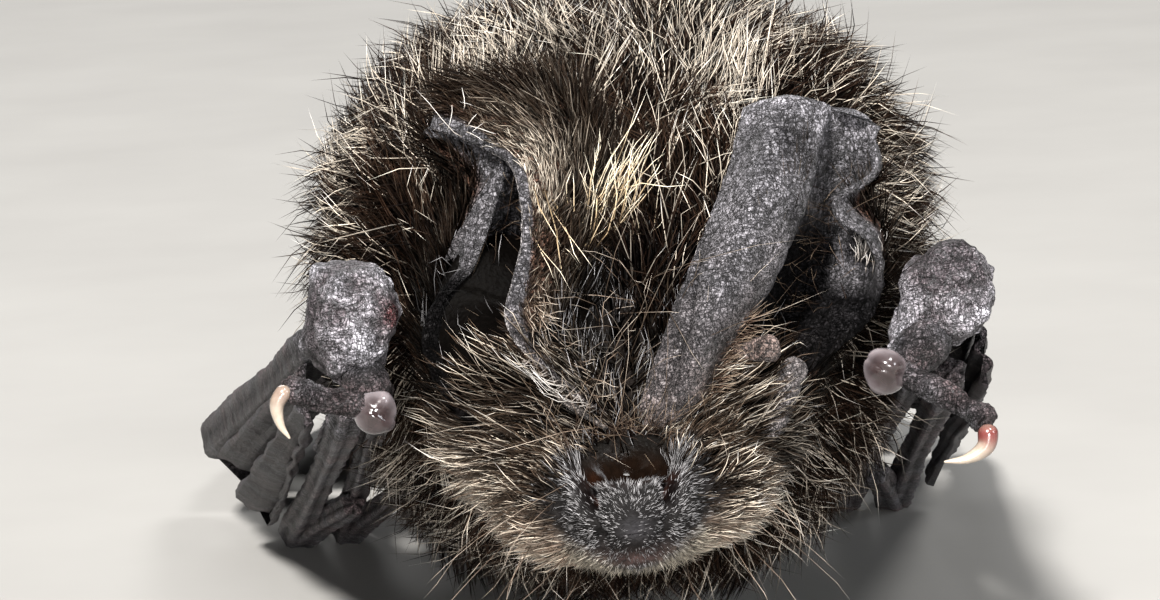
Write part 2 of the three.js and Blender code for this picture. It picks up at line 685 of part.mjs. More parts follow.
function addLeg(group, name, side, ankle, body) {
  const thighPlace = thigh(side, GAP);
  const shinPlace = shin(side, ankle, GAP);
  const elbowPlaces = [forearm(side, GAP), upperArm(side, GAP)];
  addMesh(group, "thigh_" + name, cut(thigh(side, 0), body, ...elbowPlaces), "fur");
  addMesh(group, "shin_" + name, cut(shin(side, ankle, 0), thighPlace), "skin");
  addMesh(group, "foot_" + name, cut(foot(side, ankle, 0), shinPlace), "skin");
}

function tail(grow) {
  const [x, y, z] = TAIL_ROOT;
  const path = [[x, y, z], [x, y + 6, 1.1], [x, y + 22, 0.6], [x, y + TAIL_LENGTH, 0.4]];
  return solid(limb(path, [1.1, 0.85, 0.6, 0.35], { steps: 7, grow }));
}

// Skin between the tail and one leg, in shallow folds, with the calcar's rim behind the ankle.
function tailMembrane(side, ankle) {
  const besideTail = [[0.3, 51.5, 2.6], [0.4, 60, 1], [0.4, 76, 0.8], [0.4, 89, 0.6]];
  const legEnd = [ankle[0] - 0.8, ankle[1] - 0.8, 1.2];
  const calcarEnd = [5.6, 79, 0.6];
  const besideLeg = [[6.4, 50.5, 4.6], [8.6, 56.5, 3.8], legEnd, calcarEnd];
  const tailLine = new THREE.CatmullRomCurve3(besideTail.map(vector));
  const legLine = new THREE.CatmullRomCurve3(besideLeg.map(vector));
  return solid(sheet((across, along) => {
    const point = tailLine.getPoint(along).lerp(legLine.getPoint(along), across);
    point.z += 0.35 * Math.sin(along * 5 * Math.PI) * Math.sin(across * Math.PI);
    point.x *= side;
    return point;
  }, 4, 7));
}

function addTail(group, ankle, body) {
  const tailPlace = tail(GAP);
  addMesh(group, "tail", onFloor(cut(tail(0), body)), "skin");
  for (const [name, side] of [["left", 1], ["right", -1]]) {
    const places = [tailPlace, body, thigh(side, GAP), shin(side, ankle, GAP), foot(side, ankle, GAP)];
    const membrane = cut(tailMembrane(side, ankle), ...places);
    addMesh(group, "tail_membrane_" + name, onFloor(membrane), "skin");
  }
}

// ---------------------------------------------------------------- assembly

function ankleFrom(knee) {
  const drop = knee[2] - 1.2;
  const inward = 2.3;
  const back = Math.sqrt(SHIN_LENGTH ** 2 - drop ** 2 - inward ** 2);
  return [knee[0] - inward, knee[1] + back, 1.2];
}

function buildHeadGroup() {
  const group = new THREE.Group();
  group.position.set(...NOSE_TIP);
  group.rotation.set(radians(HEAD_PITCH), radians(HEAD_ROLL), radians(HEAD_YAW), "ZXY");
  group.updateMatrixWorld(true);
  addMuzzle(group);
  addHead(group);
  return group;
}

function buildBat() {
  const bat = new THREE.Group();
  const head = buildHeadGroup();
  bat.add(head);
  const rooms = [1, -1].flatMap((side) => [
    wingRoom(side, bat),
    ...FINGERS.map((spec) => finger(side, spec, GAP)),
  ]);
  addNeck(bat, head, rooms);
  addTrunk(bat, rooms);
  const ankle = ankleFrom(KNEE);
  const body = cut(trunkRoom(), ...rooms);
  for (const [name, wing] of Object.entries(WINGS)) {
    addWing(bat, name, wing, body, ankle);
    addLeg(bat, name, wing.side, ankle, body);
  }
  addTail(bat, ankle, body);
  return bat;
}

// Moves the finished animal so that the origin is under the middle of its outline, on the floor.
function centred(bat) {
  const box = new THREE.Box3().setFromObject(bat, true);
  const middle = box.getCenter(new THREE.Vector3());
  bat.position.set(-middle.x, -middle.y, -box.min.z);
  return bat;
}

export default centred(buildBat());
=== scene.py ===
"""The looks of a life-size western barbastelle bat at rest: one skin mesh of closed parts that run into
each other, eyes, pads and claws of their own, and a coat of solid tufts. Shapes are worked out in
millimetres, in the frame in which the solids were drawn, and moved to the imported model's frame at the
end. The bat faces -Y, its left side is +X, and +Z is up."""
import math

import bpy
import numpy as np
from mathutils import Matrix, Vector, kdtree


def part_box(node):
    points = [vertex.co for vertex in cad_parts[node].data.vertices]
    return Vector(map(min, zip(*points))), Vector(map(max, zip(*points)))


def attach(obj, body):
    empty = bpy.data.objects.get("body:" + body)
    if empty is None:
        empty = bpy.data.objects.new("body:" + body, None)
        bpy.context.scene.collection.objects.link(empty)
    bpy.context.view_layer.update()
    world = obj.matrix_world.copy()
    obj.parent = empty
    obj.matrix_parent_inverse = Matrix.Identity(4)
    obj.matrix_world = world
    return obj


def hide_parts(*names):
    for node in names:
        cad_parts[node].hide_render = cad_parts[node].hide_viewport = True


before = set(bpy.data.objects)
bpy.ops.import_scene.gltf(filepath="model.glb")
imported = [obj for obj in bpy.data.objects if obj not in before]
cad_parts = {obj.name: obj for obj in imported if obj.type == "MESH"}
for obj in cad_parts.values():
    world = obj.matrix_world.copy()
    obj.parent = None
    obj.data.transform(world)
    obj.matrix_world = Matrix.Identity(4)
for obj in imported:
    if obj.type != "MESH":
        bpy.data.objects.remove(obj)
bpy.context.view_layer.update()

# ------------------------------------------------------------------ sizes, as in the CAD part
GAP = 0.3
FOREARM_LENGTH = 39
SHIN_LENGTH = 18.5
TAIL_LENGTH = 42
METACARPAL_LENGTH = 35.5
FIRST_PHALANX_LENGTH = 14
EYE_RADIUS = 0.65
HEAD_PITCH, HEAD_YAW, HEAD_ROLL = 22, -3, -4
NOSE_TIP = np.array([-1.3, 0, 9])
MUZZLE_END, HEAD_END = 4.35, 13
NECK_END, RUMP_END = 17, 52
MOUTH_LEVEL = -1.95
EYE_CENTRE = np.array([3.3, 5, -0.7])

# The coat's outline: [y, half width, top, widest level, bottom]
HEAD_STATIONS = np.array([
    [-0.15, 0.5, -0.3, -0.65, -1], [0.1, 1.35, 0.45, -0.6, -1.7], [0.7, 2.1, 0.9, -0.65, -2.25],
    [1.6, 2.95, 0.95, -0.8, -2.6], [2.8, 3.5, 0.75, -1, -2.95], [4.35, 4.2, 1.1, -1.2, -3.5],
    [6, 5.6, 2.7, -1.2, -4.6], [8, 6.7, 4.6, -0.8, -5.3], [10.5, 7.3, 6.3, -0.3, -6],
    [13, 7.6, 7.3, 0, -6.3]])
TRUNK_STATIONS = np.array([
    [11, 7.6, 21.5, 14.5, 6.5], [15, 9.8, 23.2, 15, 3.2], [20, 11.2, 23.7, 14.5, 1.6],
    [26, 10.7, 21.2, 11.5, -0.3], [32, 10.1, 18, 9.5, -0.8], [38, 9.3, 14.8, 8, -0.8],
    [44, 8, 11.6, 6.3, -0.6], [49, 6, 8.6, 4.8, -0.3], [52, 3.4, 6, 3.6, 0.6]])
# How deep the skin lies under that outline, along the head and along the trunk: [y, depth]
HEAD_DEPTH = np.array([[-0.2, 0.06], [2, 0.12], [3.2, 0.3], [4.35, 0.55], [6, 1.1], [8, 1.7], [13, 2.3]])
TRUNK_DEPTH = np.array([[11, 2.4], [20, 2.8], [32, 2.5], [44, 2.1], [52, 1.6]])

# The ears' rails in the head's frame, from the root to the tip, each across the ear from its inner margin
# to its outer margin
EAR_LEFT_RAILS = [
    [[0.5, 4.8, 0.7], [1.5, 6.4, 2.3], [2.5, 8.1, 3.6], [3.6, 10, 4.8], [4.5, 12.3, 6.2]],
    [[1.3, 4.4, 0.7], [2.5, 5.7, 2.5], [3.6, 7.2, 3.9], [4.7, 8.9, 5.2], [5.8, 12, 6.6]],
    [[2.1, 5.1, 0.4], [3.3, 6.4, 1.8], [4.7, 7.7, 3], [6, 9.5, 4.4], [6.9, 12.2, 6.1]],
    [[2.3, 6, -0.8], [3.2, 7.9, 0.8], [4.6, 9.5, 2], [5.8, 11, 3.6], [7.2, 12.6, 5.7]],
    [[3.3, 6.6, -2], [4.5, 9.6, -0.6], [6.1, 11.4, 0.6], [6.9, 12.2, 2.7], [7.7, 12.8, 5.5]],
    [[4.4, 5.8, -1.6], [6.1, 8.4, -0.3], [7.9, 10.2, 1], [7.9, 11.2, 3.1], [8.3, 12.4, 5.3]],
    [[4.1, 4.6, -0.8], [5.1, 7, 0.1], [6.5, 8.3, -0.1], [7.7, 9.4, 0.2], [8.1, 9.1, 2.3], [7.5, 9.5, 3],
     [7, 10, 3.9], [8.1, 11.1, 4.4], [8.6, 11.9, 5.1]]]
EAR_RIGHT_RAILS = [
    [[-0.6, 4.6, 0.7], [-1.8, 5.1, 1.6], [-2.8, 5.8, 2.5], [-3.2, 6.5, 3.3], [-2.9, 7.2, 4], [-2.5, 8.1, 4.8],
     [-2.4, 9, 5.6], [-2.6, 10.1, 6.3], [-3.6, 10.9, 6.75], [-4.9, 11.6, 7.1]],
    [[-0.5, 5, 0.6], [-1.5, 5.6, 1.7], [-2.2, 6.2, 2.4], [-2.5, 6.6, 3.1], [-2.3, 7.3, 3.8], [-2.1, 8.2, 4.7],
     [-2, 9.1, 5.5], [-2.1, 10.1, 6.2], [-3.3, 11.2, 7.3], [-4.6, 11.9, 7.7]],
    [[-0.4, 5.5, 0.4], [-0.9, 6.5, 1.3], [-1.2, 7.3, 1.9], [-0.9, 8.1, 2.6], [-0.5, 9.1, 3.3],
     [-0.1, 10, 4.4], [0, 10.9, 5.6], [-0.3, 11.9, 6.8], [-1.4, 12.5, 7.5], [-3.6, 12.6, 7.5]],
    [[-2, 6.5, -0.9], [-3, 9.2, 0.5], [-3, 10.9, 2.3], [-2.9, 11.9, 4.6], [-3.9, 12.8, 6.9]],
    [[-3.6, 5.9, -1], [-5.1, 8.8, 0.6], [-5.2, 10.3, 2.2], [-4.1, 11.3, 4.5], [-4.9, 12.3, 6.5]],
    [[-4, 4.8, -0.4], [-5.4, 6.6, 1], [-5.7, 7.9, 2.1], [-5, 8.7, 3], [-4.1, 9.2, 3.7], [-3.6, 9.8, 4.6],
     [-3.3, 10.4, 5.3], [-2.9, 10.9, 6.1], [-3.8, 11.5, 6.75], [-5.1, 11.8, 7.05]]]
EAR_LEAF = [[-3.8, 10.3, 4.5], [-4.1, 10.2, 4.2], [-4.5, 10, 3.8], [-4.9, 9.8, 3.5]]
EAR_GUTTER = [[5.3, 6.7, 0.6], [4.8, 6.1, 0], [4.4, 5.4, -0.6], [3.9, 4.7, -1.2]]
EAR_RIM = [[-0.5, 3.7, 0.8], [-1.2, 4.1, 1.2], [-1.9, 4.5, 1.7], [-2.8, 5.4, 2.5]]
TRAGUS = [[3.4, 6.4, 1.25], [3.8, 6.1, 1.45], [4.35, 5.8, 1.65], [4.8, 5.7, 1.75]]

# Wings folded beside the head, as for the left one, with x outwards.
# A wrist is a block: [height, middle x, half width], from the bottom up.
WINGS = {
    "left": {
        "side": 1,
        "wrist": [[11.6, 7.7, 0.5], [11.8, 7.75, 0.7], [12.33, 8.31, 1.2], [12.85, 8.85, 1.44],
                  [13.5, 9.09, 1.44], [14.1, 9.07, 1.46], [14.7, 9.12, 1.24], [15.16, 9.26, 0.85],
                  [15.45, 9.29, 0.5]],
        "bump": [7.75, 7.4, 14.05],
        "flush": 0.2,
        "pad": [6.92, 6.5, 11.72],
        "thumb": [[7.25, 6.7, 11.75], [8.1, 6.25, 11.25], [9, 5.95, 10.72], [9.75, 5.7, 10.2]],
        "claw": [[9.82, 5.62, 10.1], [9.72, 5.52, 9.45], [9.15, 5.42, 9.12], [8.4, 5.3, 9.08]],
        "claw_width": [0.33, 0.28, 0.16, 0.03],
        "neck": [[8.7, 7.5, 12.9], [8, 7.1, 12.2], [7.3, 6.8, 11.8]],
        "quick": 0.9,
    },
    "right": {
        "side": -1,
        "wrist": [[11.55, 8.6, 0.5], [11.7, 8.7, 0.75], [12.2, 8.96, 1.08], [12.95, 9.11, 1.3],
                  [13.56, 9.1, 1.44], [14.1, 9, 1.48], [14.8, 9.03, 1.3], [15.3, 9.02, 1.04],
                  [15.66, 9, 0.76], [15.85, 9, 0.4]],
        "bump": [7.7, 7.3, 14.2],
        "flush": 1,
        "pad": [8.45, 6.4, 11.46],
        "thumb": [[8.6, 6.5, 11.7], [9.2, 6.25, 11.78], [9.95, 5.95, 12], [10.8, 5.65, 12.42]],
        "claw": [[10.95, 5.5, 12.55], [11.3, 5.42, 12.05], [11.24, 5.35, 11.45], [10.98, 5.3, 11]],
        "claw_width": [0.26, 0.22, 0.13, 0.03],
        "neck": [[8.9, 7.6, 12.7], [8.6, 7.1, 12.1], [8.5, 6.8, 11.6]],
        "quick": 0.3,
    },
}
FOREARM_START = [9.7, 9.6, 13.3]
FOREARM_OUTWARD, FOREARM_DOWN = 6, 14.5
SHOULDER = [6.4, 22.5, 12.5]
HIP = [2.5, 41, 6]
KNEE = [10.6, 52, 5.4]
TAIL_ROOT = [0, 50, 3]
TOES = (-2, -1, 0, 1, 2)
TOE_ROOTS = [0.9, 3, -0.6]  # from the ankle
GROUND_GAP = 0.01  # how far the limbs stay above the ground
BODY_AROUND = 256  # points round each ring of the body
FINGERS = [([9.2, 9.4, 10.9], 3.4, 17.1, 0.72, -1.3), ([8.2, 9.6, 11.3], 2, 17.9, 0.62, -1.2)]
LAST_FINGER = ([8.5, 9.9, 12.9], 2.6, 15.9, 0.6)

OFFSET = np.array([0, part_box("chest")[0].y * 1000 - (NECK_END + GAP), 0])
SEED = 20


def to_model(points):
    return (np.asarray(points, float) + OFFSET) * 0.001


def srgb(red, green, blue):
    """A linear colour from the usual 0 to 255 values."""
    value = np.array([red, green, blue]) / 255
    return np.where(value <= 0.04045, value / 12.92, ((value + 0.055) / 1.055) ** 2.4)


# ------------------------------------------------------------------ camera, light and floor
CAMERA_TARGET = np.array([-2, 9, 14.04])
CAMERA_DISTANCE = 150
CAMERA_AZIMUTH, CAMERA_ELEVATION, CAMERA_ROLL = -3, 9, 3
FRAME_WIDTH = 35.15  # what the frame spans at the target
SENSOR_WIDTH = 36
FLOOR_REACH = 3.0  # metres, from the middle to each edge


def add_camera():
    az, el, roll = (math.radians(v) for v in (CAMERA_AZIMUTH, CAMERA_ELEVATION, CAMERA_ROLL))
    forward = np.array([-math.sin(az) * math.cos(el), math.cos(az) * math.cos(el), -math.sin(el)])
    level = np.array([math.cos(az), math.sin(az), 0])
    rise = np.cross(level, forward)
    right = level * math.cos(roll) - rise * math.sin(roll)
    up = level * math.sin(roll) + rise * math.cos(roll)
    data = bpy.data.cameras.new("camera")
    data.sensor_width = SENSOR_WIDTH
    data.lens = SENSOR_WIDTH * CAMERA_DISTANCE / FRAME_WIDTH
    data.clip_start, data.clip_end = 0.01, 10
    camera = bpy.data.objects.new("camera", data)
    matrix = Matrix.Identity(4)
    for column, axis in enumerate((right, up, -forward)):
        for row in range(3):
            matrix[row][column] = axis[row]
    matrix.translation = Vector(to_model(CAMERA_TARGET - CAMERA_DISTANCE * forward))
    camera.matrix_world = matrix
    bpy.context.collection.objects.link(camera)
    bpy.context.scene.camera = camera


def add_light(name, position, target, size, power, colour):
    data = bpy.data.lights.new(name, "AREA")
    data.shape = "RECTANGLE"
    data.size, data.size_y = size
    data.energy = power
    data.color = colour
    light = bpy.data.objects.new(name, data)
    light.location = position
    light.rotation_euler = (Vector(target) - Vector(position)).to_track_quat("-Z", "Y").to_euler()
    bpy.context.collection.objects.link(light)


def add_studio():
    face = to_model([-1, 6, 14])
    add_light("key", (-0.25, -0.95, 0.78), face, (0.12, 0.12), 56, (1, 0.97, 0.93))
    add_light("top", (0.4, -0.45, 0.9), face, (0.25, 0.25), 7, (1, 0.99, 0.97))
    add_light("front", (0.1, -1.15, 0.1), face, (0.35, 0.2), 13, (1, 0.98, 0.96))
    add_light("side", (0.9, -0.5, 0.35), face, (0.3, 0.3), 4, (0.93, 0.96, 1))
    add_light("back", (-0.2, 1.0, 0.8), face, (0.7, 0.5), 7, (1, 1, 1))
    world = bpy.data.worlds.new("studio")
    world.use_nodes = True
    background = world.node_tree.nodes["Background"]
    background.inputs["Color"].default_value = (0.93, 0.95, 1, 1)
    background.inputs["Strength"].default_value = 0.06
    bpy.context.scene.world = world
    bpy.context.scene.view_settings.view_transform = "Standard"


def add_floor():
    mesh = bpy.data.meshes.new("floor")
    mesh.from_pydata([(x * FLOOR_REACH, y * FLOOR_REACH, 0) for x, y in ((-1, -1), (1, -1), (1, 1), (-1, 1))],
                     [], [(0, 1, 2, 3)])
    floor = bpy.data.objects.new("floor", mesh)
    bpy.context.collection.objects.link(floor)
    shader = Shader("studio_floor")
    grain = shader.noise(60, 4)
    shader.colour(shader.ramp(grain, [(0.3, (0.25, 0.246, 0.238)), (0.7, (0.272, 0.268, 0.259))]))
    shader.set("Roughness", 0.7)
    shader.set("Specular IOR Level", 0.1)
    mesh.materials.append(shader.material)


# ------------------------------------------------------------------ materials
class Shader:
    """A material with one Principled shader and the few nodes that its makers below use."""

    def __init__(self, name):
        self.material = bpy.data.materials.new(name)
        self.material.use_nodes = True
        self.tree = self.material.node_tree
        self.principled = self.tree.nodes["Principled BSDF"]
        self.place = self.node("ShaderNodeTexCoord").outputs["Object"]

    def node(self, kind, **values):
        node = self.tree.nodes.new(kind)
        for key, value in values.items():
            setattr(node, key, value)
        return node

    def link(self, source, target):
        self.tree.links.new(source, target)

    def set(self, name, value):
        self.principled.inputs[name].default_value = value

    def attribute(self, name):
        return self.node("ShaderNodeAttribute", attribute_name=name).outputs

    def noise(self, scale, detail=3, roughness=0.55, place=None):
        node = self.node("ShaderNodeTexNoise")
        self.link(place or self.place, node.inputs["Vector"])
        node.inputs["Scale"].default_value = scale
        node.inputs["Detail"].default_value = detail
        node.inputs["Roughness"].default_value = roughness
        return node.outputs["Fac"]

    def warped(self, scale, amount):
        """Places pushed about by a noise."""
        noise = self.node("ShaderNodeTexNoise")
        self.link(self.place, noise.inputs["Vector"])
        noise.inputs["Scale"].default_value = scale
        push = self.node("ShaderNodeVectorMath", operation="MULTIPLY_ADD")
        self.link(noise.outputs["Color"], push.inputs[0])
        push.inputs[1].default_value = (amount, amount, amount)
        self.link(self.place, push.inputs[2])
        return push.outputs["Vector"]

    def stretched(self, shares):
        """Places scaled by an amount along each axis, so that a texture there runs in streaks."""
        node = self.node("ShaderNodeVectorMath", operation="MULTIPLY")
        self.link(self.place, node.inputs[0])
        node.inputs[1].default_value = shares
        return node.outputs["Vector"]

    def cells(self, scale, feature="F1", place=None):
        node = self.node("ShaderNodeTexVoronoi", feature=feature)
        self.link(place or self.place, node.inputs["Vector"])
        node.inputs["Scale"].default_value = scale
        return node.outputs["Distance"]

    def ramp(self, factor, stops):
        node = self.node("ShaderNodeValToRGB")
        self.link(factor, node.inputs["Fac"])
        ramp = node.color_ramp
        while len(ramp.elements) < len(stops):
            ramp.elements.new(0.5)
        for element, (position, colour) in zip(ramp.elements, stops):
            element.position = position
            element.color = (*colour, 1) if not np.isscalar(colour) else (colour, colour, colour, 1)
        return node.outputs["Color"]

    def spread(self, factor, low, high):
        node = self.node("ShaderNodeMapRange")
        self.link(factor, node.inputs["Value"])
        node.inputs["To Min"].default_value = low
        node.inputs["To Max"].default_value = high
        return node.outputs["Result"]

    def times(self, colour, factor):
        node = self.node("ShaderNodeMix", data_type="RGBA", blend_type="MULTIPLY")
        node.inputs["Factor"].default_value = 1
        self.link(colour, node.inputs[6])
        self.link(factor, node.inputs[7])
        return node.outputs[2]

    def sum(self, first, second, second_share=1.0):
        node = self.node("ShaderNodeMath", operation="MULTIPLY_ADD")
        self.link(second, node.inputs[0])
        node.inputs[1].default_value = second_share
        self.link(first, node.inputs[2])
        return node.outputs[0]

    def product(self, first, second):
        node = self.node("ShaderNodeMath", operation="MULTIPLY")
        self.link(first, node.inputs[0])
        self.link(second, node.inputs[1])
        return node.outputs[0]

    def mixed(self, factor, first, second):
        """From one colour towards another, fixed one."""
        node = self.node("ShaderNodeMix", data_type="RGBA")
        self.link(factor, node.inputs["Factor"])
        self.link(first, node.inputs[6])
        node.inputs[7].default_value = (*second, 1)
        return node.outputs[2]

    def lines(self, scale, width, on, off, place=None):
        """One value on thin wandering lines, another between them."""
        noise = self.noise(scale, 3, 0.6, place)
        away = self.node("ShaderNodeMath", operation="SUBTRACT")
        self.link(noise, away.inputs[0])
        away.inputs[1].default_value = 0.5
        size = self.node("ShaderNodeMath", operation="ABSOLUTE")
        self.link(away.outputs[0], size.inputs[0])
        return self.ramp(size.outputs[0], [(0, on), (width, off)])

    def colour(self, source):
        self.link(source, self.principled.inputs["Base Color"])

    def tinted(self, source, stops):
        """The tint's own colours, made darker and lighter by a texture."""
        self.colour(self.times(self.attribute("tint")["Color"], self.ramp(source, stops)))

    def roughness(self, source, low, high):
        self.link(self.spread(source, low, high), self.principled.inputs["Roughness"])

    def flesh_glow(self, radius):
        """Light that passes a little way through."""
        self.set("Subsurface Weight", 0.15)
        self.set("Subsurface Radius", radius)
        self.set("Subsurface Scale", 1.0)

    def bump(self, height, distance, fade=None):
        """Relief from a height. fade, from 0 to 1, takes it away."""
        node = self.node("ShaderNodeBump")
        node.inputs["Strength"].default_value = 1
        if fade:
            self.link(self.spread(fade, 1, 0), node.inputs["Strength"])
        node.inputs["Distance"].default_value = distance
        self.link(height, node.inputs["Height"])
        self.link(node.outputs["Normal"], self.principled.inputs["Normal"])


LEATHER_RELIEF = 0.00006  # metres


def skin_gloss(shader, source, low, high, dull, bright):
    """Roughness from a grain, falling to a wet gloss where the tint's alpha says so. The gloss is weaker,
    from bright to dull, where the tint is darkest, so that hollows stay dark."""
    tint = shader.attribute("tint")
    node = shader.node("ShaderNodeMix", data_type="FLOAT")
    shader.link(tint["Alpha"], node.inputs["Factor"])
    shader.link(shader.spread(source, low, high), node.inputs[2])
    node.inputs[3].default_value = 0.07
    shader.link(node.outputs[0], shader.principled.inputs["Roughness"])
    level = shader.ramp(tint["Color"], [(0.004, dull), (0.03, bright)])
    shader.link(shader.sum(level, tint["Alpha"], 0.13), shader.principled.inputs["Specular IOR Level"])


def hide_material():
    """The skin under the coat, fine-grained and dark, moist where it is bare on the nose."""
    shader = Shader("hide")
    grain = shader.noise(5200, 5, 0.7)
    shader.tinted(grain, [(0.3, 0.55), (0.75, 1.5)])
    skin_gloss(shader, grain, 0.45, 0.65, 0.02, 0.2)
    shader.bump(shader.sum(grain, shader.cells(7000), 0.6), 0.00004, shader.attribute("tint")["Alpha"])
    return shader.material


def leather_material(name, painted_sheen, size, light, roughness):
    """Bare skin: fine uneven plates, long wrinkles running every way, painted shade in their grooves and
    painted silvery highlights in thin lines. size is how coarse its grain is, and light how much lighter than
    the tint its plates are."""
    shader = Shader(name)
    tint = shader.attribute("tint")["Color"]
    patches = shader.noise(700, 5, 0.7)
    grain = shader.noise(9000, 3, 0.6)
    plates = shader.cells(3300 / size, "DISTANCE_TO_EDGE", shader.warped(1300, 0.0012))
    grooves = shader.ramp(plates, [(0, 0.3), (0.04, 0.75), (0.13, 1)])
    small = shader.cells(8000 / size, "DISTANCE_TO_EDGE", shader.warped(3000, 0.0004))
    small = shader.ramp(small, [(0, 0.4), (0.11, 1)])
    upright = shader.lines(4200 / size, 0.04, 0.04, 1, shader.stretched((1, 1, 0.35)))
    level = shader.lines(3600 / size, 0.045, 0.04, 1, shader.stretched((0.35, 1, 1.3)))
    deep = shader.lines(1900 / size, 0.02, 0.02, 1, shader.stretched((1.2, 1, 0.5)))
    wrinkles = shader.product(shader.product(upright, level), deep)
    # painted highlights: thin silvery lines mixed into the colour
    highlight_lines = shader.lines(4200, 0.05, 1, 0)
    # painted shade: the plates' grooves and the wrinkles darken the tint
    plate_shade = shader.product(shader.product(grooves, small), wrinkles)
    shade = shader.product(shader.ramp(patches, [(0.3, 0.3), (0.68, 1.0)]), plate_shade)
    lit = shader.times(tint, shader.spread(shade, 0.02, light))
    amount = shader.product(highlight_lines, shader.ramp(patches, [(0.42, 0.08 * painted_sheen), (0.6, painted_sheen)]))
    amount = shader.product(amount, shader.ramp(tint, [(0.008, 0), (0.035, 1)]))
    shader.colour(shader.mixed(amount, lit, (0.5, 0.5, 0.53)))
    skin_gloss(shader, grain, roughness, roughness + 0.16, 0.03, 0.34)
    height = shader.sum(shader.sum(shader.sum(grooves, small, 0.6), wrinkles, 0.8), patches, 1.2)
    shader.bump(shader.sum(height, grain, 0.1), LEATHER_RELIEF)
    return shader.material


def fur_material():
    """Hair: its colours run along each hair, with fine streaks."""
    shader = Shader("fur")
    streaks = shader.noise(3500, 3)
    tint = shader.attribute("tint")["Color"]
    shader.colour(shader.times(tint, shader.ramp(streaks, [(0.3, 0.7), (0.7, 1.3)])))
    shader.roughness(streaks, 0.3, 0.45)
    gloss = shader.ramp(tint, [(0.004, 0.02), (0.06, 0.18)])
    shader.link(gloss, shader.principled.inputs["Specular IOR Level"])
    return shader.material


def pad_material():
    """The smooth swollen pad at the wrist."""
    shader = Shader("pad_skin")
    grain = shader.noise(2500, 4)
    shader.tinted(grain, [(0.3, 0.8), (0.7, 1.25)])
    shader.roughness(grain, 0.1, 0.24)
    shader.flesh_glow((0.0004, 0.0003, 0.00028))
    shader.set("Coat Weight", 0.5)
    shader.set("Coat Roughness", 0.06)
    shader.bump(shader.sum(grain, shader.cells(3800), 0.5), 0.000015)
    return shader.material


def claw_material():
    """Ivory horn, with the quick showing red through its root."""
    shader = Shader("horn")
    streaks = shader.noise(5000, 3)
    shader.tinted(streaks, [(0.3, 0.88), (0.7, 1.1)])
    shader.roughness(streaks, 0.15, 0.28)
    shader.flesh_glow((0.0004, 0.0003, 0.0002))
    shader.set("Coat Weight", 0.4)
    return shader.material


def eye_material():
    """A polished near-black eye with a deep brown glow."""
    shader = Shader("eye_gloss")
    depth = shader.noise(1500, 2)
    shader.colour(shader.ramp(depth, [(0.35, (0.006, 0.003, 0.002)), (0.75, (0.035, 0.014, 0.006))]))
    shader.roughness(depth, 0.03, 0.07)
    shader.set("Coat Weight", 1.0)
    shader.set("Coat Roughness", 0.02)
    return shader.material


# ------------------------------------------------------------------ noise over points, in millimetres
def lattice(cell, seed):
    """One repeatable value from 0 to 1 for each cell of whole numbers."""
    mixed = (cell[..., 0] * 374761393 + cell[..., 1] * 668265263 + cell[..., 2] * 1440662683
             + seed * 974634777)
    mixed = mixed & 0xFFFFFFFF
    mixed = ((mixed ^ (mixed >> 13)) * 1274126177) & 0xFFFFFFFF
    return ((mixed ^ (mixed >> 16)) & 0xFFFF) / 65535


def smooth_noise(points, size, seed=0):
    """Soft random swells from -1 to 1, about size across."""
    scaled = np.asarray(points) / size
    cell = np.floor(scaled).astype(np.int64)
    inside = scaled - cell
    blend = inside * inside * (3 - 2 * inside)
    total = 0
    for corner in np.ndindex(2, 2, 2):
        corner = np.array(corner)
        weight = np.prod(np.where(corner == 1, blend, 1 - blend), axis=-1)
        total = total + weight * lattice(cell + corner, seed)
    return total * 2 - 1


def bumps(points, size, seed=0):
    """Distances to the nearest and the second nearest of scattered points, about size apart, in sizes."""
    scaled = np.asarray(points) / size
    cell = np.floor(scaled).astype(np.int64)
    first = np.full(scaled.shape[:-1], 9.0)
    second = first.copy()
    for step in np.ndindex(3, 3, 3):
        beside = cell + np.array(step) - 1
        spot = beside + np.stack([lattice(beside, seed + axis) for axis in (11, 23, 37)], axis=-1)
        distance = np.linalg.norm(spot - scaled, axis=-1)
        second = np.minimum(second, np.maximum(first, distance))
        first = np.minimum(first, distance)
    return first, second


# ------------------------------------------------------------------ curves and surfaces
def between(values, table):
    """Linear values from a table of [position, value]."""
    return np.interp(values, table[:, 0], table[:, 1])


def hermite(rows, at):
    """Smooth values between rows sorted by their first column, as in the CAD part."""
    at = np.asarray(at, float)
    slope = np.empty((len(rows), rows.shape[1] - 1))
    for i in range(len(rows)):
        before, after = rows[max(i - 1, 0)], rows[min(i + 1, len(rows) - 1)]
        slope[i] = (after[1:] - before[1:]) / (after[0] - before[0])
    i = np.clip(np.searchsorted(rows[:, 0], at, side="left") - 1, 0, len(rows) - 2)
    span = (rows[i + 1, 0] - rows[i, 0])[..., None]
    t = (at - rows[i, 0])[..., None] / span
    rise = rows[i + 1, 1:] - rows[i, 1:]
    start, end = slope[i] * span, slope[i + 1] * span
    return rows[i, 1:] + t * start + t ** 2 * (3 * rise - 2 * start - end) + t ** 3 * (start + end - 2 * rise)


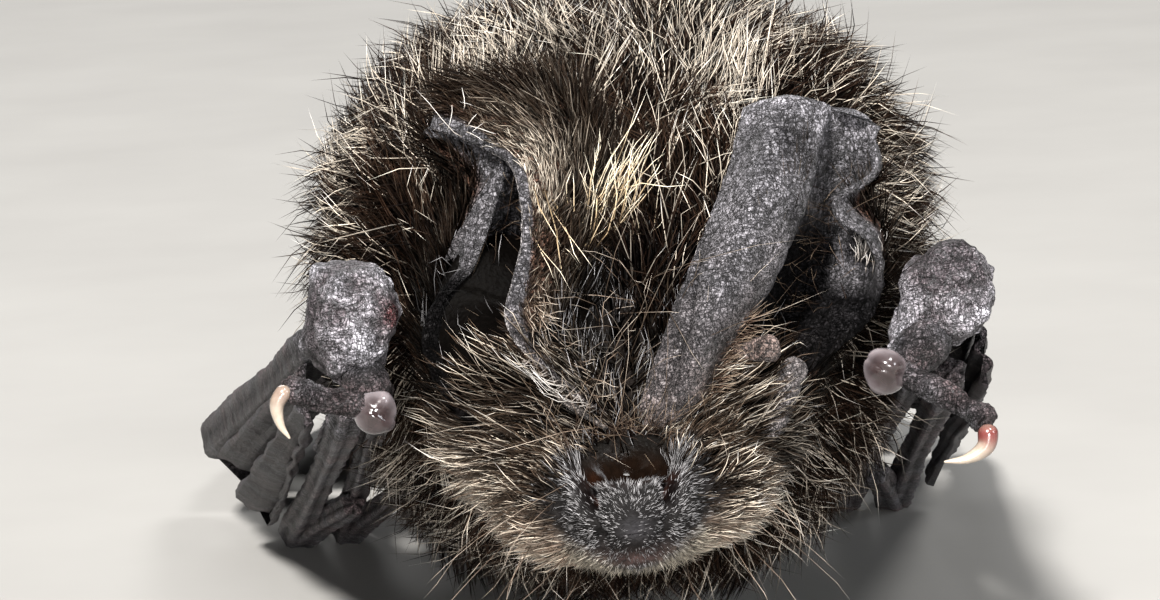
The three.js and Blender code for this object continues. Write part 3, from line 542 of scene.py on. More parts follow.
def curve(points, at):
    """Points on a smooth curve through control points. points is (n, ..., 3), at is (m,), and the result
    is (m, ..., 3)."""
    points = np.asarray(points, float)
    at = np.asarray(at, float)
    ends = [2 * points[0] - points[1], 2 * points[-1] - points[-2]]
    padded = np.concatenate([ends[0][None], points, ends[1][None]])
    last = len(points) - 1
    scaled = np.clip(at, 0, 1) * last
    i = np.minimum(scaled.astype(int), last - 1)
    t = (scaled - i).reshape((-1,) + (1,) * (points.ndim - 1))
    p0, p1, p2, p3 = (padded[i + k] for k in range(4))

    def gap(a, b):
        return np.maximum(np.sum((a - b) ** 2, axis=-1, keepdims=True) ** 0.25, 1e-4)

    d0, d1, d2 = gap(p0, p1), gap(p1, p2), gap(p2, p3)
    start = ((p1 - p0) / d0 - (p2 - p0) / (d0 + d1) + (p2 - p1) / d1) * d1
    end = ((p2 - p1) / d1 - (p3 - p1) / (d1 + d2) + (p3 - p2) / d2) * d1
    return (p1 + t * start + t ** 2 * (3 * (p2 - p1) - 2 * start - end)
            + t ** 3 * (2 * (p1 - p2) + start + end))


def unit(vectors):
    return vectors / np.maximum(np.linalg.norm(vectors, axis=-1, keepdims=True), 1e-9)


def surface_normals(grid, closed):
    """Normals of a grid of points (rows, columns, 3). closed says that its columns go round."""
    along = np.gradient(grid, axis=0)
    if closed:
        across = (np.roll(grid, -1, axis=1) - np.roll(grid, 1, axis=1)) / 2
    else:
        across = np.gradient(grid, axis=1)
    return unit(np.cross(across, along))


def outward_normals(grid):
    """Normals of a closed tube of points, turned away from its middle."""
    normals = surface_normals(grid, True)
    away = grid - grid.mean(axis=1, keepdims=True)
    return normals if np.sum(normals * away) > 0 else -normals


def egg_rings(outline, around, shrink):
    """Egg-shaped rings, one for each row of outline [half width, top, level, bottom], without their y."""
    angle = np.arange(around) / around * 2 * np.pi
    side = np.sign(np.cos(angle)) * np.abs(np.cos(angle)) ** 0.9
    rise = np.sign(np.sin(angle)) * np.abs(np.sin(angle)) ** 0.9
    half_width, top, level, bottom = (outline[:, k:k + 1] for k in range(4))
    height = np.where(rise > 0, top - level, level - bottom)
    shrink = shrink[:, None]
    return np.stack([(half_width - shrink) * side, level + (height - shrink) * rise], axis=-1)


def limb(path, radii, steps=40, around=24, squash=1.0):
    """A tube along a smooth path, with a radius at each of its points and rounded ends."""
    path = np.asarray(path, float)
    t = np.linspace(0, 1, steps)
    centre = curve(path, t)
    tangent = unit(np.gradient(centre, axis=0))
    run = unit(centre[-1] - centre[0])
    reference = np.array([0, 1.0, 0]) if abs(run[2]) > 0.7 else np.array([0, 0, 1.0])
    across = unit(np.cross(reference, tangent))
    over = np.cross(tangent, across)
    table = np.column_stack([np.linspace(0, 1, len(radii)), radii])
    radius = hermite(table, t)[:, 0]
    length = np.sum(np.linalg.norm(np.diff(centre, axis=0), axis=1))
    for distance, end in ((t * length, radii[0]), ((1 - t) * length, radii[-1])):
        rounding = np.clip(distance / end, 0, 1)
        radius = radius * np.sqrt(np.maximum(1 - (1 - rounding) ** 2, 0.0004))
    angle = (np.arange(around) + 0.5) / around * 2 * np.pi
    cosine, sine = np.cos(angle)[None, :, None], np.sin(angle)[None, :, None]
    ring = squash * cosine * across[:, None] + sine * over[:, None]
    return centre[:, None] + radius[:, None, None] * ring


def thick_sheet(surface, thickness):
    """A closed tube of points round a sheet of points (rows, columns, 3) with its own thickness at each."""
    normal = surface_normals(surface, False)
    half = (thickness / 2)[..., None] * normal
    return np.concatenate([surface + half, (surface - half)[:, ::-1]], axis=1)


def on_side(side, points):
    return np.asarray(points, float) * [side, 1, 1]


def reach(start, length, outward, down):
    """The point a length away from a start, running back, outward and down by two angles."""
    outward, down = math.radians(outward), math.radians(down)
    level = length * math.cos(down)
    return np.array(start) + [level * math.sin(outward), level * math.cos(outward), -length * math.sin(down)]


def head_matrix():
    pitch, roll, yaw = (math.radians(v) for v in (HEAD_PITCH, HEAD_ROLL, HEAD_YAW))
    turns = ((yaw, "Z"), (pitch, "X"), (roll, "Y"))
    first, second, third = (Matrix.Rotation(angle, 3, axis) for angle, axis in turns)
    return np.array(first @ second @ third)


HEAD_AXES = head_matrix()


def from_head(points):
    return NOSE_TIP + np.asarray(points) @ HEAD_AXES.T


def to_head(points):
    return (np.asarray(points) - NOSE_TIP) @ HEAD_AXES


# ------------------------------------------------------------------ the skin's parts
class Part:
    """One tube of the skin: its grid of points, its colours, its material and its place on the unwrap."""

    def __init__(self, grid, tint, material, place, wet=0.0):
        self.grid = grid
        wet = np.broadcast_to(wet, grid.shape[:2])[..., None]
        self.tint = np.concatenate([np.broadcast_to(tint, grid.shape), wet], axis=-1)
        self.material = material
        self.place = place

    def unwrap(self, row, column):
        """Places on the unwrap for rows and columns of the grid, whole or not."""
        u0, v0, u1, v1 = self.place
        rows, columns = self.grid.shape[:2]
        return np.stack([u0 + (u1 - u0) * column / columns, v0 + (v1 - v0) * row / (rows - 1)], axis=-1)


def near(points, centre, radii):
    """1 at a centre, fading softly to 0 beyond the radii."""
    return np.exp(-np.sum(((points - centre) / radii) ** 2, axis=-1))


def ramp_up(values, start, end):
    """0 before start, 1 after end, easing between."""
    t = np.clip((values - start) / (end - start), 0, 1)
    return t * t * (3 - 2 * t)


def hill(values, middle, width):
    """1 at the middle, falling softly to 0 on both sides."""
    return np.exp(-((values - middle) / width) ** 2)


def rising(values, start, width):
    """0 up to start, then climbing evenly to 1 over a width."""
    return np.clip((values - start) / width, 0, 1)


def falling(values, end, width):
    """1, falling evenly over a width to 0 at end."""
    return np.clip((end - values) / width, 0, 1)


def above(grid, level):
    """Lifts the points of a grid that are below a level up to it."""
    grid[..., 2] = np.maximum(grid[..., 2], level)
    return grid


def tree_of(points):
    """A search tree for the nearest of some points."""
    tree = kdtree.KDTree(len(points))
    for index, point in enumerate(points):
        tree.insert(point, index)
    tree.balance()
    return tree


def nose_hollow(local):
    """1 inside the bare hollow over the nose."""
    x, y, z = (local[..., k] for k in range(3))
    bowl = 1 - ramp_up(np.sqrt((x / 1.42) ** 2 + ((y - 1.85) / 1.12) ** 2), 0.66, 1.08)
    return bowl * (z > -1.2)


def nostril_slit(local, side):
    """1 inside a nostril, a slit that slants up and outwards."""
    x, y, z = (local[..., k] for k in range(3))
    x = side * x - 1.08 - 0.35 * (z - 0.45)
    return np.exp(-(x / 0.2) ** 2 - ((z - 0.5) / 0.36) ** 2 - ((y - 0.65) / 0.6) ** 2)


def lip_groove(local, side):
    """1 along the groove that runs from a nostril down to the lip."""
    x, y, z = (local[..., k] for k in range(3))
    middle = 1.05 - 0.2 * np.clip(-z, 0, 2) + 0.1 * np.sin(4 * z)
    along = ramp_up(0.45 - z, 0, 0.3) * ramp_up(z + 1.3, 0, 0.8)
    return hill(side * x, middle, 0.2) * along * (y < 2)


def sculpt_face(grid):
    """Dents and swellings of the face, in the head's frame: bare nose, nostrils, lips, cheeks and eyes."""
    normal = outward_normals(grid)
    x, y, z = (grid[..., k] for k in range(3))
    lift = np.zeros(grid.shape[:2])
    lift += 0.5 * near(grid, [0, 3.0, 0.9], [1.6, 0.5, 1.2])  # the brow behind the hollow
    lift -= 1.25 * nose_hollow(grid)
    lift += 0.16 * near(grid, [0, 0.35, -0.1], [0.85, 0.5, 0.9])  # the swollen middle of the lip
    for side in (1, -1):
        lift += 0.45 * near(grid, [side * 1.8, 1.9, 0.6], [0.4, 0.8, 0.7])  # the hollow's raised side
        lift += 0.34 * near(grid, [side * 2.6, 2.2, -0.5], [1.15, 1.2, 1])  # cheek
        lift += 0.2 * near(grid, [side * 0.85, 0.4, 0.35], [0.3, 0.4, 0.4])  # the nostril's inner rim
        lift += 0.22 * near(grid, [side * 1.5, 0.8, 0.3], [0.3, 0.5, 0.6])  # and its outer rim
        lift -= 0.8 * nostril_slit(grid, side)
        lift -= 0.2 * lip_groove(grid, side)
        away = np.linalg.norm(grid - EYE_CENTRE * [side, 1, 1], axis=-1)
        lift += 0.16 * hill(away, 0.8, 0.22)
    mouth = np.exp(-((z - MOUTH_LEVEL + 0.25 + 0.1 * (y - 0.5)) / 0.1) ** 2)
    lift -= 0.3 * mouth * np.clip(3.4 - y, 0, 1) * ramp_up(np.abs(x), 0.2, 1.2)
    lift += 0.07 * smooth_noise(grid, 0.55, 3) * np.clip(5 - y, 0, 1)
    lift += 0.03 * smooth_noise(grid, 0.22, 4) * np.clip(4 - y, 0, 1)
    return grid + normal * lift[..., None]


def ear_levels(steps):
    """Heights up an ear, starting below its root."""
    return np.linspace(-0.05, 1, steps)


def ear_surface(rails, columns, heights):
    """The ear's middle surface: (heights, columns, 3), from its inner to its outer margin."""
    inside = np.clip(heights, 0, 1)
    step = 1e-3
    levels = []
    for rail in rails:
        points = curve(rail, inside)
        tangent = unit(curve(rail, np.clip(inside + step, 0, 1)) - curve(rail, np.clip(inside - step, 0, 1)))
        length = np.sum(np.linalg.norm(np.diff(curve(rail, np.linspace(0, 1, 200)), axis=0), axis=1))
        levels.append(points + tangent * ((heights - inside) * length)[:, None])
    return np.moveaxis(curve(np.array(levels), columns), 0, 1)


def facing_out(surface):
    """The surface's normals on the side that the hollow faces."""
    normal = surface_normals(surface, False)
    return normal if np.sum(normal[..., 1]) < 0 else -normal


def ear_columns(count):
    """Places across an ear, closer together at its margins."""
    even = np.linspace(0, 1, count)
    return np.sort(np.concatenate([even, [0.002, 0.005, 0.009, 0.991, 0.995, 0.998]]))


def crinkles(points, seed):
    """Fine leather relief in millimetres: soft folds and crossing creases."""
    first, second = bumps(points, 0.34, seed)
    return (0.07 * smooth_noise(points, 1.3, seed) + 0.05 * smooth_noise(points, 0.42, seed + 1)
            + 0.08 * np.minimum(second - first, 0.3))


def ear_thickness(columns, heights, side):
    """The ear's thickness: thin, thinning to its margins, with the right ear's outer margin a full fold."""
    edge = np.minimum(columns, 1 - columns)
    rim = np.clip(edge / 0.01, 0.05, 1) ** 0.5
    tip = np.clip((1 - heights) / 0.012, 0.05, 1) ** 0.5
    thickness = 0.24 * rim[None, :] * tip[:, None] * (1.15 - 0.35 * heights[:, None])
    if side < 0:
        fold = hill(columns, 0.955, 0.035)[None, :] * rising(heights, 0.3, 0.1)[:, None]
        strip = hill(columns, 0.09, 0.07)[None, :]
        thickness = thickness + (0.12 * fold + 0.14 * strip) * rim[None, :] * tip[:, None]
    return thickness


def ear_relief(columns, heights, side):
    """Larger folds of the ear, along its outward normal: in the left ear a crease that sets off the low
    inner corner, a dent under the tip, and ripples down the outer wall."""
    across, height = np.meshgrid(columns, heights)
    if side < 0:
        return 0.12 * np.sin(across * 40 + height * 9) * rising(across, 0.5, 0.2)
    crease = 0.12 * falling(height, 0.6, 0.35)
    relief = -0.3 * hill(across, crease, 0.02) * falling(height, 0.56, 0.1)
    relief += 0.15 * np.exp(-((across - crease - 0.05) / 0.03) ** 2) * falling(height, 0.56, 0.1)
    relief -= 0.3 * np.exp(-((across - 0.22) / 0.09) ** 2 - ((height - 0.86) / 0.05) ** 2)
    relief += 0.16 * hill(across, 0.2, 0.12) * np.clip(0.8 - height, 0, 1)
    ripples = 0.2 * np.sin(height * 26 + across * 8) * rising(across, 0.72, 0.15)
    return relief + ripples * rising(height, 0.45, 0.2)


def make_ear(rails, side, place):
    heights = ear_levels(112)
    columns = ear_columns(120)
    surface = ear_surface(rails, columns, heights)
    out = facing_out(surface)
    creases = crinkles(surface, 5 + side)
    surface = surface + out * (ear_relief(columns, heights, side) + creases)[..., None]
    normal_first = np.sum(surface_normals(surface, False)[..., 1]) < 0
    grid = thick_sheet(surface, ear_thickness(columns, heights, side))
    count = len(columns)
    across = np.concatenate([columns, columns[::-1]])[None, :] * np.ones((len(heights), 1))
    height = heights[:, None] * np.ones_like(across)
    front = np.zeros_like(across)
    front[:, :count] = 1 if normal_first else 0
    front[:, count:] = 0 if normal_first else 1
    # painted shade and light: the tint darker in the crinkles' dips and lighter on their rises
    shade = np.clip(0.75 + 3.5 * np.concatenate([creases, creases[:, ::-1]], axis=1), 0.35, 1.5)[..., None]
    part = Part(from_head(grid), ear_tint(grid, across, height, front, side) * shade, "leather", place)
    part.across, part.height, part.front = across, height, front
    return part


def ear_tint(grid, across, height, front, side):
    """Charcoal leather, browner low down and on the roll's edge, with a pale line along the free margins."""
    charcoal, brown, pale = srgb(58, 57, 60), srgb(53, 45, 42), srgb(126, 122, 122)
    mottle = 0.5 + 0.5 * smooth_noise(grid, 0.8, 9)
    low = np.clip(0.55 - 1.3 * height, 0, 1)
    if side > 0:
        low += 0.7 * hill(across, 0.3, 0.05) * np.clip(0.75 - height, 0, 1)
    low = np.clip(low + 0.25 * mottle * (1 - height), 0, 1)[..., None]
    tint = charcoal * (1 - low) + brown * low
    edge = np.minimum(across, 1 - across)
    line = np.where((side < 0) & (height < 0.35), 0.012, 0.005)
    margin = np.clip(1 - edge / line, 0, 1)[..., None] * (across < 0.5)[..., None]
    tint = tint * (1 - margin) + pale * margin
    # painted shade: each ear's hollow, and its low outer part, darkened
    first = 0.36 if side > 0 else 0.3
    last = 0.93 if side < 0 else 0.97 - 0.22 * ramp_up(height, 0.3, 0.5)
    hollow = rising(across, first, 0.08) * rising(last, across, 0.06) * front
    hollow = hollow * (1 - ramp_up(height, 0.6, 0.8))
    if side > 0:
        front = np.maximum(front, ramp_up(height, 0.8, 0.88))
    back = (1 - front) * rising(across, 0.13, 0.04) * falling(across, 0.93, 0.03)
    hollow = np.maximum(hollow, (across > 0.5) * ramp_up((0.5 if side < 0 else 0.54) - height, 0, 0.14))
    tint = tint * (1 - (0.92 if side > 0 else 0.95) * hollow[..., None])
    if side > 0:
        # painted shade in the left ear's crease and in the dent under its tip
        crease = 0.12 * falling(height, 0.6, 0.35)
        groove = hill(across, crease, 0.016) * falling(height, 0.56, 0.1) * front
        tint = tint * (1 - 0.75 * groove[..., None])
        dent = front * np.exp(-((across - 0.2) / 0.12) ** 2 - ((height - 0.9) / 0.035) ** 2)
        tint = tint * (1 - 0.45 * dent[..., None])
    tint = tint * (1 - back[..., None]) + srgb(46, 32, 25) * back[..., None]
    if side > 0:
        # painted highlight: the left ear's strip lighter in its middle and at its top
        bright = 0.7 * np.exp(-((across - 0.13) / 0.1) ** 2 - ((height - 0.66) / 0.24) ** 2)
        bright += 0.9 * ramp_up(height, 0.86, 0.95) * ramp_up(across, 0.26, 0.4)
        bright += 0.6 * ramp_up(height, 0.9, 0.97)
        tint = tint * (1 + bright[..., None])
    return tint * (0.75 + 0.5 * mottle[..., None])


def ear_details(cells):
    """The small folds inside the ears: tragi, the gutter at the left ear's mouth, the right ear's leaf."""
    parts = []

    def add(path, radii, seed, colour, **shape):
        grid = limb(path, radii, steps=60, around=40, **shape)
        grid = grid + outward_normals(grid) * (0.6 * crinkles(grid, seed))[..., None]
        tint = srgb(*colour) * (0.8 + 0.3 * smooth_noise(grid, 0.6, seed)[..., None])
        parts.append(Part(from_head(grid), tint, "leather", next(cells)))

    add(TRAGUS, [0.24, 0.28, 0.42, 0.44], 41, (86, 74, 70), squash=0.5)
    add(on_side(-1, TRAGUS) + [0.4, 0.6, -1.2], [0.34, 0.36, 0.42, 0.36], 42, (50, 44, 42), squash=0.62)
    add(EAR_GUTTER, [0.36, 0.42, 0.4, 0.3], 43, (66, 62, 62))
    add(EAR_RIM, [0.04, 0.055, 0.055, 0.05], 47, (58, 53, 50))
    add(EAR_LEAF, [0.1, 0.26, 0.28, 0.08], 45, (52, 50, 52), squash=0.6)
    return parts


def wrap_behind(points, ears):
    """Moves the points that stand in an ear's hollow back behind that ear. Also says which moved."""
    moved = np.zeros(len(points), bool)
    for surface, out in ears:
        rows, columns = surface.shape[:2]
        flat, flat_out = surface.reshape(-1, 3), out.reshape(-1, 3)
        tree = tree_of(flat)
        low, high = flat.min(axis=0) - 1.5, flat.max(axis=0) + 1.5
        for i in np.flatnonzero(np.all((points > low) & (points < high), axis=1)):
            _, index, _ = tree.find(points[i])
            row, column = divmod(index, columns)
            if row < 2 or row > rows - 3 or column < 2 or column > columns - 3:
                continue
            if np.dot(points[i] - flat[index], flat_out[index]) > -0.35:
                points[i] = flat[index] - 0.4 * flat_out[index]
                moved[i] = True
    return moved


def soften(grid, chosen, rounds):
    """Evens out the chosen points of a closed tube."""
    for _ in range(rounds):
        mean = (np.roll(grid, 1, axis=1) + np.roll(grid, -1, axis=1)) / 4
        mean[1:-1] += (grid[:-2] + grid[2:]) / 4
        mean[[0, -1]] *= 2
        grid[chosen] = grid[chosen] * 0.4 + mean[chosen] * 0.6
    return grid


def station_tube(stations, depths, places):
    """Egg-shaped rings at places along the body, as deep under the coat as depths say."""
    rings = egg_rings(hermite(stations, places), BODY_AROUND, between(places, depths))
    grid = np.empty((len(places), BODY_AROUND, 3))
    grid[..., 0], grid[..., 1], grid[..., 2] = rings[..., 0], places[:, None], rings[..., 1]
    return grid


def make_head(ears):
    """The head's skin from nose to neck, and which of its points lie in or beside the ears' hollows."""
    start = HEAD_STATIONS[0, 0]
    muzzle_y = start + (MUZZLE_END - start) * np.linspace(0, 1, 88) ** 1.7
    head_y = np.concatenate([muzzle_y, np.linspace(MUZZLE_END, HEAD_END, 72)[1:]])
    head = station_tube(HEAD_STATIONS, HEAD_DEPTH, head_y)
    tip = np.linspace(0.04, 0.9, 8)
    centre = head[0].mean(axis=0)
    cap = centre + (head[0] - centre) * tip[:, None, None]
    cap[..., 1] -= 0.08 * (1 - tip[:, None] ** 2)
    head = sculpt_face(np.concatenate([cap, head]))
    flat = head.reshape(-1, 3)
    wide = wrap_behind(flat, ears).reshape(head.shape[:2])
    head = flat.reshape(head.shape)
    for _ in range(3):
        wide |= np.roll(wide, 1, axis=1) | np.roll(wide, -1, axis=1)
        wide[1:] |= wide[:-1]
        wide[:-1] |= wide[1:]
    wide[: len(tip) + 64] = False
    return from_head(soften(head, wide, 12)), wide


def make_body(ears):
    """The skin of muzzle, head, neck and trunk, from the nose to the root of the tail."""
    head, wide = make_head(ears)
    trunk = station_tube(TRUNK_STATIONS, TRUNK_DEPTH, np.linspace(NECK_END, RUMP_END, 92))
    first, last = head[-1], trunk[0]
    t = np.linspace(0, 1, 16)[1:-1, None, None]
    neck = first + (last - first) * np.sin(t * np.pi / 2)
    neck[..., 1] = (first + (last - first) * t)[..., 1]
    end = trunk[-1].mean(axis=0)
    close = end + (trunk[-1] - end) * np.array([0.9, 0.6, 0.25, 0.03])[:, None, None]
    close[..., 1] += np.array([0.3, 0.8, 1.1, 1.2])[:, None]
    grid = np.concatenate([head, neck, trunk, close])
    tint, wet = body_tint(grid)
    part = Part(grid, tint, "hide", (0.01, 0.01, 0.49, 0.99), wet)
    part.bare = np.zeros(grid.shape[:2], bool)
    part.bare[: len(head)] = wide
    # painted shade: the skin tucked behind the ears' hollows made much darker
    part.tint[part.bare, :3] *= 0.2
    return part


def body_tint(grid):
    """Near-black skin, with amber in the bare hollow over the nose, and how wet it is."""
    local = to_head(grid)
    tint = np.broadcast_to(srgb(16, 13, 11), grid.shape).copy()

    def blend(colour, weight):
        nonlocal tint
        weight = np.clip(weight, 0, 1)[..., None]
        tint = tint * (1 - weight) + colour * weight

    blend(srgb(19, 18, 18), 2.5 - local[..., 1])
    blend(srgb(7, 6, 5), 1.5 * near(local, [0, 3.1, 1], [1.7, 0.7, 1.2]))
    hollow = nose_hollow(local)
    blend(srgb(14, 8, 5), 1.5 * hollow)
    blend(srgb(140, 66, 24), 1.3 * near(local, [0.1, 1.15, -0.45], [0.8, 0.3, 0.9]))
    blend(srgb(70, 36, 20), 0.5 * near(local, [-0.95, 1.6, -0.1], [0.22, 0.5, 0.8]))
    wet = np.clip(1.6 * hollow, 0, 1)
    blend(srgb(74, 64, 57), 0.9 * lip_share(local))
    for side in (1, -1):
        blend(srgb(70, 60, 53), 0.8 * near(local, [side * 3.2, 3, -1.6], [1.3, 2, 1.1]))
    for side in (1, -1):
        slit = nostril_slit(local, side)
        # painted shade: the nostril slits near-black, as for deep holes
        blend(srgb(7, 5, 5), 2 * slit)
        rim = near(local, [side * 1.6, 1.7, 0.6], [0.45, 0.8, 0.6])
        wet = np.maximum(wet, np.clip(1.3 * rim, 0, 1))
    blend(srgb(34, 33, 35), 1.5 * near(local, [0.05, 0.1, -0.2], [0.42, 0.5, 0.3]))
    blend(srgb(52, 40, 38), near(local, [0, 0.1, -1.25], [0.8, 0.6, 0.35]))
    return tint, wet


def wart_relief(points, seed):
    """Lumpy, crumpled skin relief in millimetres."""
    first = bumps(points, 0.75, seed)[0]
    fine_first, fine_second = bumps(points, 0.3, seed + 3)
    return (0.26 * smooth_noise(points, 1.2, seed) + 0.3 * (0.45 - np.minimum(first, 0.85) ** 2)
            + 0.08 * np.minimum(fine_second - fine_first, 0.35) + 0.09 * smooth_noise(points, 0.3, seed + 9)
            + 0.02 * smooth_noise(points, 0.12, seed + 12))


def wing_tint(grid, seed, dark=1.0):
    """Charcoal with plum-brown patches."""
    swell = np.clip(0.4 + 0.9 * smooth_noise(grid, 1.0, seed), 0, 1)[..., None]
    return (srgb(46, 45, 48) * (1 - swell) + srgb(50, 42, 43) * swell) * dark


def rough_limb(path, radii, seed, relief, place, dark=0.6, material="leather", **shape):
    grid = limb(path, radii, **shape)
    lift = relief(grid, seed)
    grid = grid + outward_normals(grid) * lift[..., None]
    # painted shade and light: the tint darker where the relief dips and lighter where it rises
    tint = wing_tint(grid, seed, dark) * np.clip(0.8 + 5 * lift, 0.3, 1.6)[..., None]
    return Part(grid, tint, material, place)


def ridges(amount, pitch):
    """Relief of fine rings round a finger, as its skin gathers."""
    def relief(points, seed):
        wobble = 0.25 * smooth_noise(points, 0.8, seed)
        rings = amount * np.sin((points[..., 1] + wobble) * 2 * np.pi / pitch)
        flutes = 0.07 * np.cos(np.arange(points.shape[1]) / points.shape[1] * 10 * np.pi)
        return rings + flutes[None, :] + 0.04 * smooth_noise(points, 0.5, seed)
    return relief


def cells_of_unwrap():
    """Small squares of the unwrap, for one limb each."""
    count = 7
    size = 0.48 / count
    for i in range(count * count):
        row, column = divmod(i, count)
        u, v = 0.51 + column * size, 0.01 + row * size
        yield (u, v, u + size * 0.94, v + size * 0.94)


def folds(surface, size, amount, seed):
    """A membrane's soft gathers, along its normal."""
    normal = surface_normals(surface, False)
    relief = amount * smooth_noise(surface, size, seed)
    relief = relief + 0.4 * amount * smooth_noise(surface, size / 3, seed + 1)
    return surface + normal * relief[..., None]


def membrane(surface, thickness, seed, place, dark=0.8):
    surface = folds(surface, 2.2, 0.12, seed)
    rows, columns = surface.shape[:2]
    across = np.linspace(0, 1, columns)
    rim = np.clip(np.minimum(across, 1 - across) / 0.02, 0.1, 1) ** 0.5
    along = np.linspace(0, 1, rows)
    ends = np.clip(np.minimum(along, 1 - along) / 0.03, 0.1, 1) ** 0.5
    grid = thick_sheet(surface, thickness * rim[None, :] * ends[:, None])
    grid = above(grid, 0.02)
    return Part(grid, wing_tint(grid, seed, dark), "leather", place)


def make_wrist(wing, seed, place):
    """The wrist: a crumpled block with a flat top, and a shiny swelling on its inner side."""
    stations = np.array(wing["wrist"])
    height = np.linspace(stations[0, 0], stations[-1, 0], 98)
    shape = hermite(stations, height)
    around = 138
    angle = np.arange(around) / around * 2 * np.pi
    side = np.sign(np.cos(angle)) * np.abs(np.cos(angle)) ** 0.8
    depth = np.sign(np.sin(angle)) * np.abs(np.sin(angle)) ** 0.8
    grid = np.empty((len(height), around, 3))
    grid[..., 0] = shape[:, :1] + shape[:, 1:] * side
    grid[..., 1] = 8.1 + np.minimum(shape[:, 1:] * 1.05, 1.4) * depth
    grid[..., 2] = height[:, None]
    grid = on_side(wing["side"], grid)
    bump = near(grid, on_side(wing["side"], wing["bump"]), [0.5, 0.8, 0.6])
    fade = ramp_up(height, height[0], height[0] + 0.3) * ramp_up(-height, -height[-1], -height[-1] + 0.3)
    relief = wart_relief(grid, seed) * (1 - 0.7 * bump) * (0.3 + 0.7 * fade[:, None]) + 0.26 * bump - 0.18
    grid = grid + outward_normals(grid) * relief[..., None]
    # painted highlight on the relief's crests, lighter and silvery, and painted shade in its dips
    crest_light = ramp_up(relief, -0.22, 0.2)[..., None]
    tint = (srgb(56, 51, 54) * (1 - crest_light) + srgb(104, 103, 108) * crest_light) * (0.7 + 0.7 * crest_light)
    shine = np.clip(bump * 1.3, 0, 1)[..., None]
    flush = shine * wing["flush"]
    tint = tint * (1 - flush) + srgb(50, 30, 31) * flush
    return Part(grid, tint, "crumpled", place, 0.7 * shine[..., 0])


def make_wing(wing, cells, seed):
    side = wing["side"]
    parts = [make_wrist(wing, seed, next(cells))]

    def add(points, radii, relief, dark=0.6, **shape):
        number = seed + len(parts)
        parts.append(rough_limb(on_side(side, points), radii, number, relief, next(cells), dark, **shape))

    elbow = reach(FOREARM_START, FOREARM_LENGTH, FOREARM_OUTWARD, FOREARM_DOWN)
    start, shoulder = np.array(FOREARM_START), np.array(SHOULDER)
    bend = elbow + [-1.7, -1.7, 0.9]
    forearm = [start + (elbow - start) * t for t in (0.75, 0.35, 0.08)]
    fine = ridges(0.03, 0.5)
    add([shoulder, (shoulder + bend) / 2, bend, elbow, *forearm, start + [-0.4, -1, 0.2]],
        [1.1, 0.85, 0.8, 0.85, 1.0, 0.72, 0.72, 0.5], fine, 0.9, steps=200, around=26)
    add(wing["neck"], [0.95, 0.78, 0.5], wart_relief_small, 1.0, material="crumpled", steps=44, around=54)
    add([*wing["thumb"], wing["claw"][0]], [0.42, 0.4, 0.38, 0.42, 0.34], wart_relief_small, 1.0,
        material="crumpled", steps=70, around=54)
    for root, outward, down, radius, tip_shift in FINGERS:
        root = np.array(root)
        knuckle = reach(root, METACARPAL_LENGTH, outward, down)
        beside = knuckle + (root - knuckle) * FIRST_PHALANX_LENGTH / METACARPAL_LENGTH
        fold = beside + [tip_shift, 0, -0.5]
        path = [root + [0, -0.6, 0.3], root + (knuckle - root) * 0.08, (root + knuckle) / 2, knuckle,
                (knuckle + fold) / 2, fold]
        add(path, np.array([0.6, 0.7, 0.6, 0.9, 0.7, 0.55]) * radius, ridges(0.03, 0.34), 1.4,
            steps=170, around=24)
    root, outward, down, radius = LAST_FINGER
    root = np.array(root)
    knuckle = reach(root, METACARPAL_LENGTH - 2, outward, down)
    add([root + [0, -0.6, 0], (root + knuckle) / 2, knuckle], np.array([0.6, 0.6, 0.8]) * radius,
        ridges(0.03, 0.34), 1.2, steps=120, around=20)
    parts.append(hand_membrane(side, elbow, seed, next(cells)))
    ankle = ankle_place()
    parts.append(arm_membrane(side, elbow, ankle, seed, next(cells)))
    for part in parts:
        above(part.grid, GROUND_GAP)
    return parts


def wart_relief_small(points, seed):
    first, second = bumps(points, 0.26, seed)
    return (0.09 * np.minimum(second - first, 0.4) + 0.07 * smooth_noise(points, 0.45, seed)
            + 0.03 * smooth_noise(points, 0.13, seed + 2) - 0.02)


def spanned(inner_line, outer_line, rows, columns):
    """A sheet of points between two curves, with the places along and across it."""
    along = np.linspace(0, 1, rows)
    across = np.linspace(0, 1, columns)[None, :]
    inner, outer = curve(inner_line, along)[:, None], curve(outer_line, along)[:, None]
    return inner + (outer - inner) * across[..., None], along, across


def hand_membrane(side, elbow, seed, place):
    """Skin between the fingers, in long pleats."""
    start = np.array(FOREARM_START)
    root, outward, down = FINGERS[0][:3]
    root = np.array(root)
    knuckle = reach(root, METACARPAL_LENGTH, outward, down)
    along = np.linspace(0, 1, 84)[:, None]
    across = np.linspace(0, 1, 34)[None, :]
    t = (0.04 + 0.84 * along)[..., None]
    upper = start + (elbow - start) * t + [0.5, 0, -0.7]
    lower = root + (knuckle - root) * t + [1.3, 0, -0.2]
    surface = upper + (lower - upper) * across[..., None]
    surface[..., 0] += 0.22 * np.sin(across * 4 * np.pi) * (1 + along)
    surface[..., 0] += 0.1 * np.sin(across * 13 * np.pi + 3 * along) * np.minimum(1, 5 * along)
    return membrane(on_side(side, surface), 0.16, seed + 40, place, 0.8)


